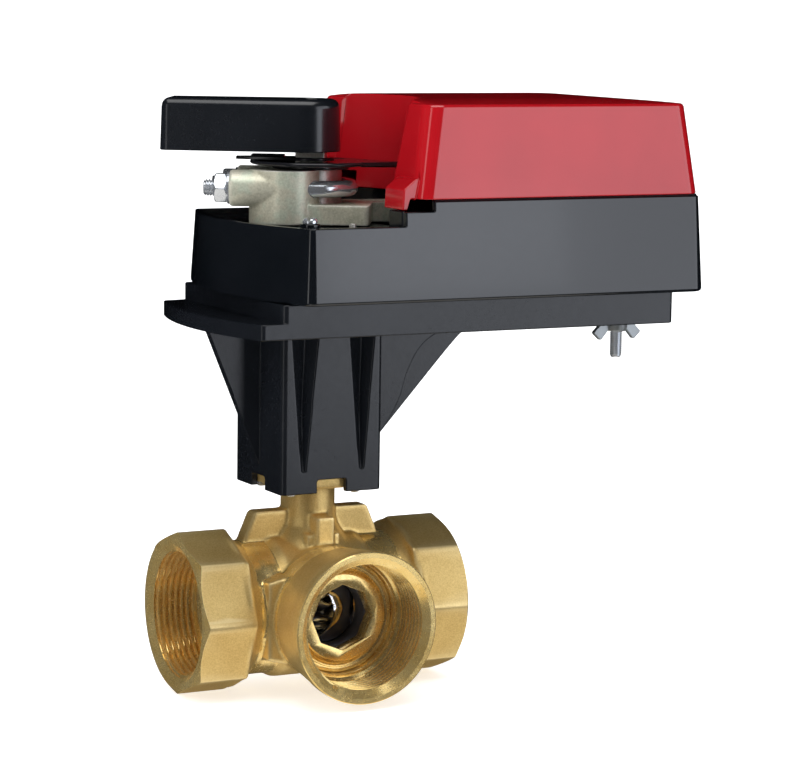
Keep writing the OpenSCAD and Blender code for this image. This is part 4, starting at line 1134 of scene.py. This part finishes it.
# Drive shaft with a grainy square end, its edges eased
put(from_node("drive_shaft", 0.35, 3), "shaft_bar", "drive", "shaft_steel", ["drive_shaft"], angle=30)
make_stud()
make_wing_nut()
make_screws()
make_gland()
EASED_NODES = {"stop_pins": "shaft_steel", "cover_screws": "plated_steel", "upper_bush": "bush_bronze",
               "lower_bush": "bush_bronze", "base_screws": "plated_steel"}
for node, slot in EASED_NODES.items():
    put(from_node(node), f"{node}_set", "valve", slot, [node])
deck = from_node("housing_deck", 0.35)
put(deck, "deck_moulding", "valve", "housing_plastic", ["housing_deck"], angle=35, weighted=True)

# -------- floor, light and camera


FLOOR_HALF = 3.0  # metres, as are the next three
FLOOR_REACH = 1.2
FLOOR_BEND = 0.6
FLOOR_RISE = 2.0


def stage_floor():
    """Pale floor that curves up into a wall behind the object."""
    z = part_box("valve_body")[0].z - 0.0002
    profile = [(-FLOOR_HALF, z), (FLOOR_REACH, z)]
    profile += [(FLOOR_REACH + FLOOR_BEND * (1 - s), z + FLOOR_BEND * c) for c, s in quarter(16)[1:]]
    profile.append((FLOOR_REACH + FLOOR_BEND, z + FLOOR_RISE))
    rings = [[(x, y, z) for y, z in profile] for x in (-FLOOR_HALF, FLOOR_HALF)]
    n = len(profile)
    faces = [(j, j + 1, n + j + 1, n + j) for j in range(n - 1)]
    obj = mesh_object("floor", rings[0] + rings[1], faces)
    obj.data.shade_smooth()
    t = Tree("floor_paper")
    t.finish(Base_Color=(0.93, 0.93, 0.93, 1), Roughness=0.9, Specular_IOR_Level=0.1,
             Emission_Color=(1, 1, 1, 1), Emission_Strength=0.55)
    obj.data.materials.append(t.material)
    obj.rotation_euler.z = -CAMERA_AZ
    obj.visible_glossy = False
    obj.visible_shadow = False


CAMERA_AZ = math.radians(27.45)  # the camera stands to the left of the branch port's axis


CAMERA_PITCH = math.radians(7.64)
CAMERA_ROLL = math.radians(0.85)
CAMERA_PLACE = Vector((-0.45397, -0.94568 + AXIS.y, 0.22191))
FOCAL = 131.32


def stand_camera():
    data = bpy.data.cameras.new("camera")
    data.sensor_width = 36
    data.sensor_fit = "HORIZONTAL"
    data.lens = FOCAL
    data.clip_start, data.clip_end = 0.05, 20
    obj = bpy.data.objects.new("camera", data)
    bpy.context.scene.collection.objects.link(obj)
    level = math.cos(CAMERA_PITCH)
    forward = Vector((math.sin(CAMERA_AZ) * level, math.cos(CAMERA_AZ) * level, -math.sin(CAMERA_PITCH)))
    right = Vector((math.cos(CAMERA_AZ), -math.sin(CAMERA_AZ), 0))
    up = right.cross(forward)
    c, s = math.cos(CAMERA_ROLL), math.sin(CAMERA_ROLL)
    right, up = c * right + s * up, -s * right + c * up
    turn = Matrix((right, up, -forward)).transposed().to_4x4()
    obj.matrix_world = Matrix.Translation(CAMERA_PLACE) @ turn
    bpy.context.scene.camera = obj


STUDIO_MIDDLE = Vector((0.03, AXIS.y, 0.08))
COOL = (0.93, 0.97, 1.06)


def panel(name, azimuth, rise, distance, width, height, radiance, colour=(1, 1, 1)):
    """Softbox that faces the object. azimuth counts in degrees from -Y towards +X, rise from the horizon."""
    a, e = math.radians(azimuth), math.radians(rise)
    away = Vector((math.sin(a) * math.cos(e), -math.cos(a) * math.cos(e), math.sin(e)))
    light = bpy.data.lights.new(name, "AREA")
    light.shape = "RECTANGLE"
    light.size, light.size_y = width, height
    light.energy = radiance * math.pi * width * height
    light.color = colour
    obj = bpy.data.objects.new(name, light)
    bpy.context.scene.collection.objects.link(obj)
    obj.location = STUDIO_MIDDLE + away * distance
    obj.rotation_euler = (-away).to_track_quat("-Z", "Y").to_euler()
    return obj


def stand_lights():
    """The front faces mirror the key panel, the round corners the edge panel, and the left faces nothing."""
    panel("key", 40, 8, 1.25, 1.05, 0.95, 2.0, COOL).visible_diffuse = False
    panel("edge", -60, 8, 1.25, 0.22, 0.9, 1.6)
    panel("glow", 27, 5, 1.2, 0.18, 0.12, 1.0, COOL)
    panel("side", -95, 15, 1.3, 0.9, 1.0, 2.2, (1.0, 0.98, 0.94)).visible_glossy = False
    panel("top", -25, 70, 1.0, 0.9, 0.7, 2.9)
    panel("under", 0, -75, 0.6, 0.9, 0.7, 0.9, (1.0, 0.95, 0.86))
    world = bpy.data.worlds.new("studio")
    bpy.context.scene.world = world
    world.use_nodes = True
    background = world.node_tree.nodes["Background"]
    background.inputs["Color"].default_value = (0.95, 0.97, 1.0, 1)
    background.inputs["Strength"].default_value = 0.72
    world.cycles_visibility.glossy = False


stage_floor()
stand_camera()
stand_lights()
bpy.context.scene.view_settings.view_transform = "Standard"
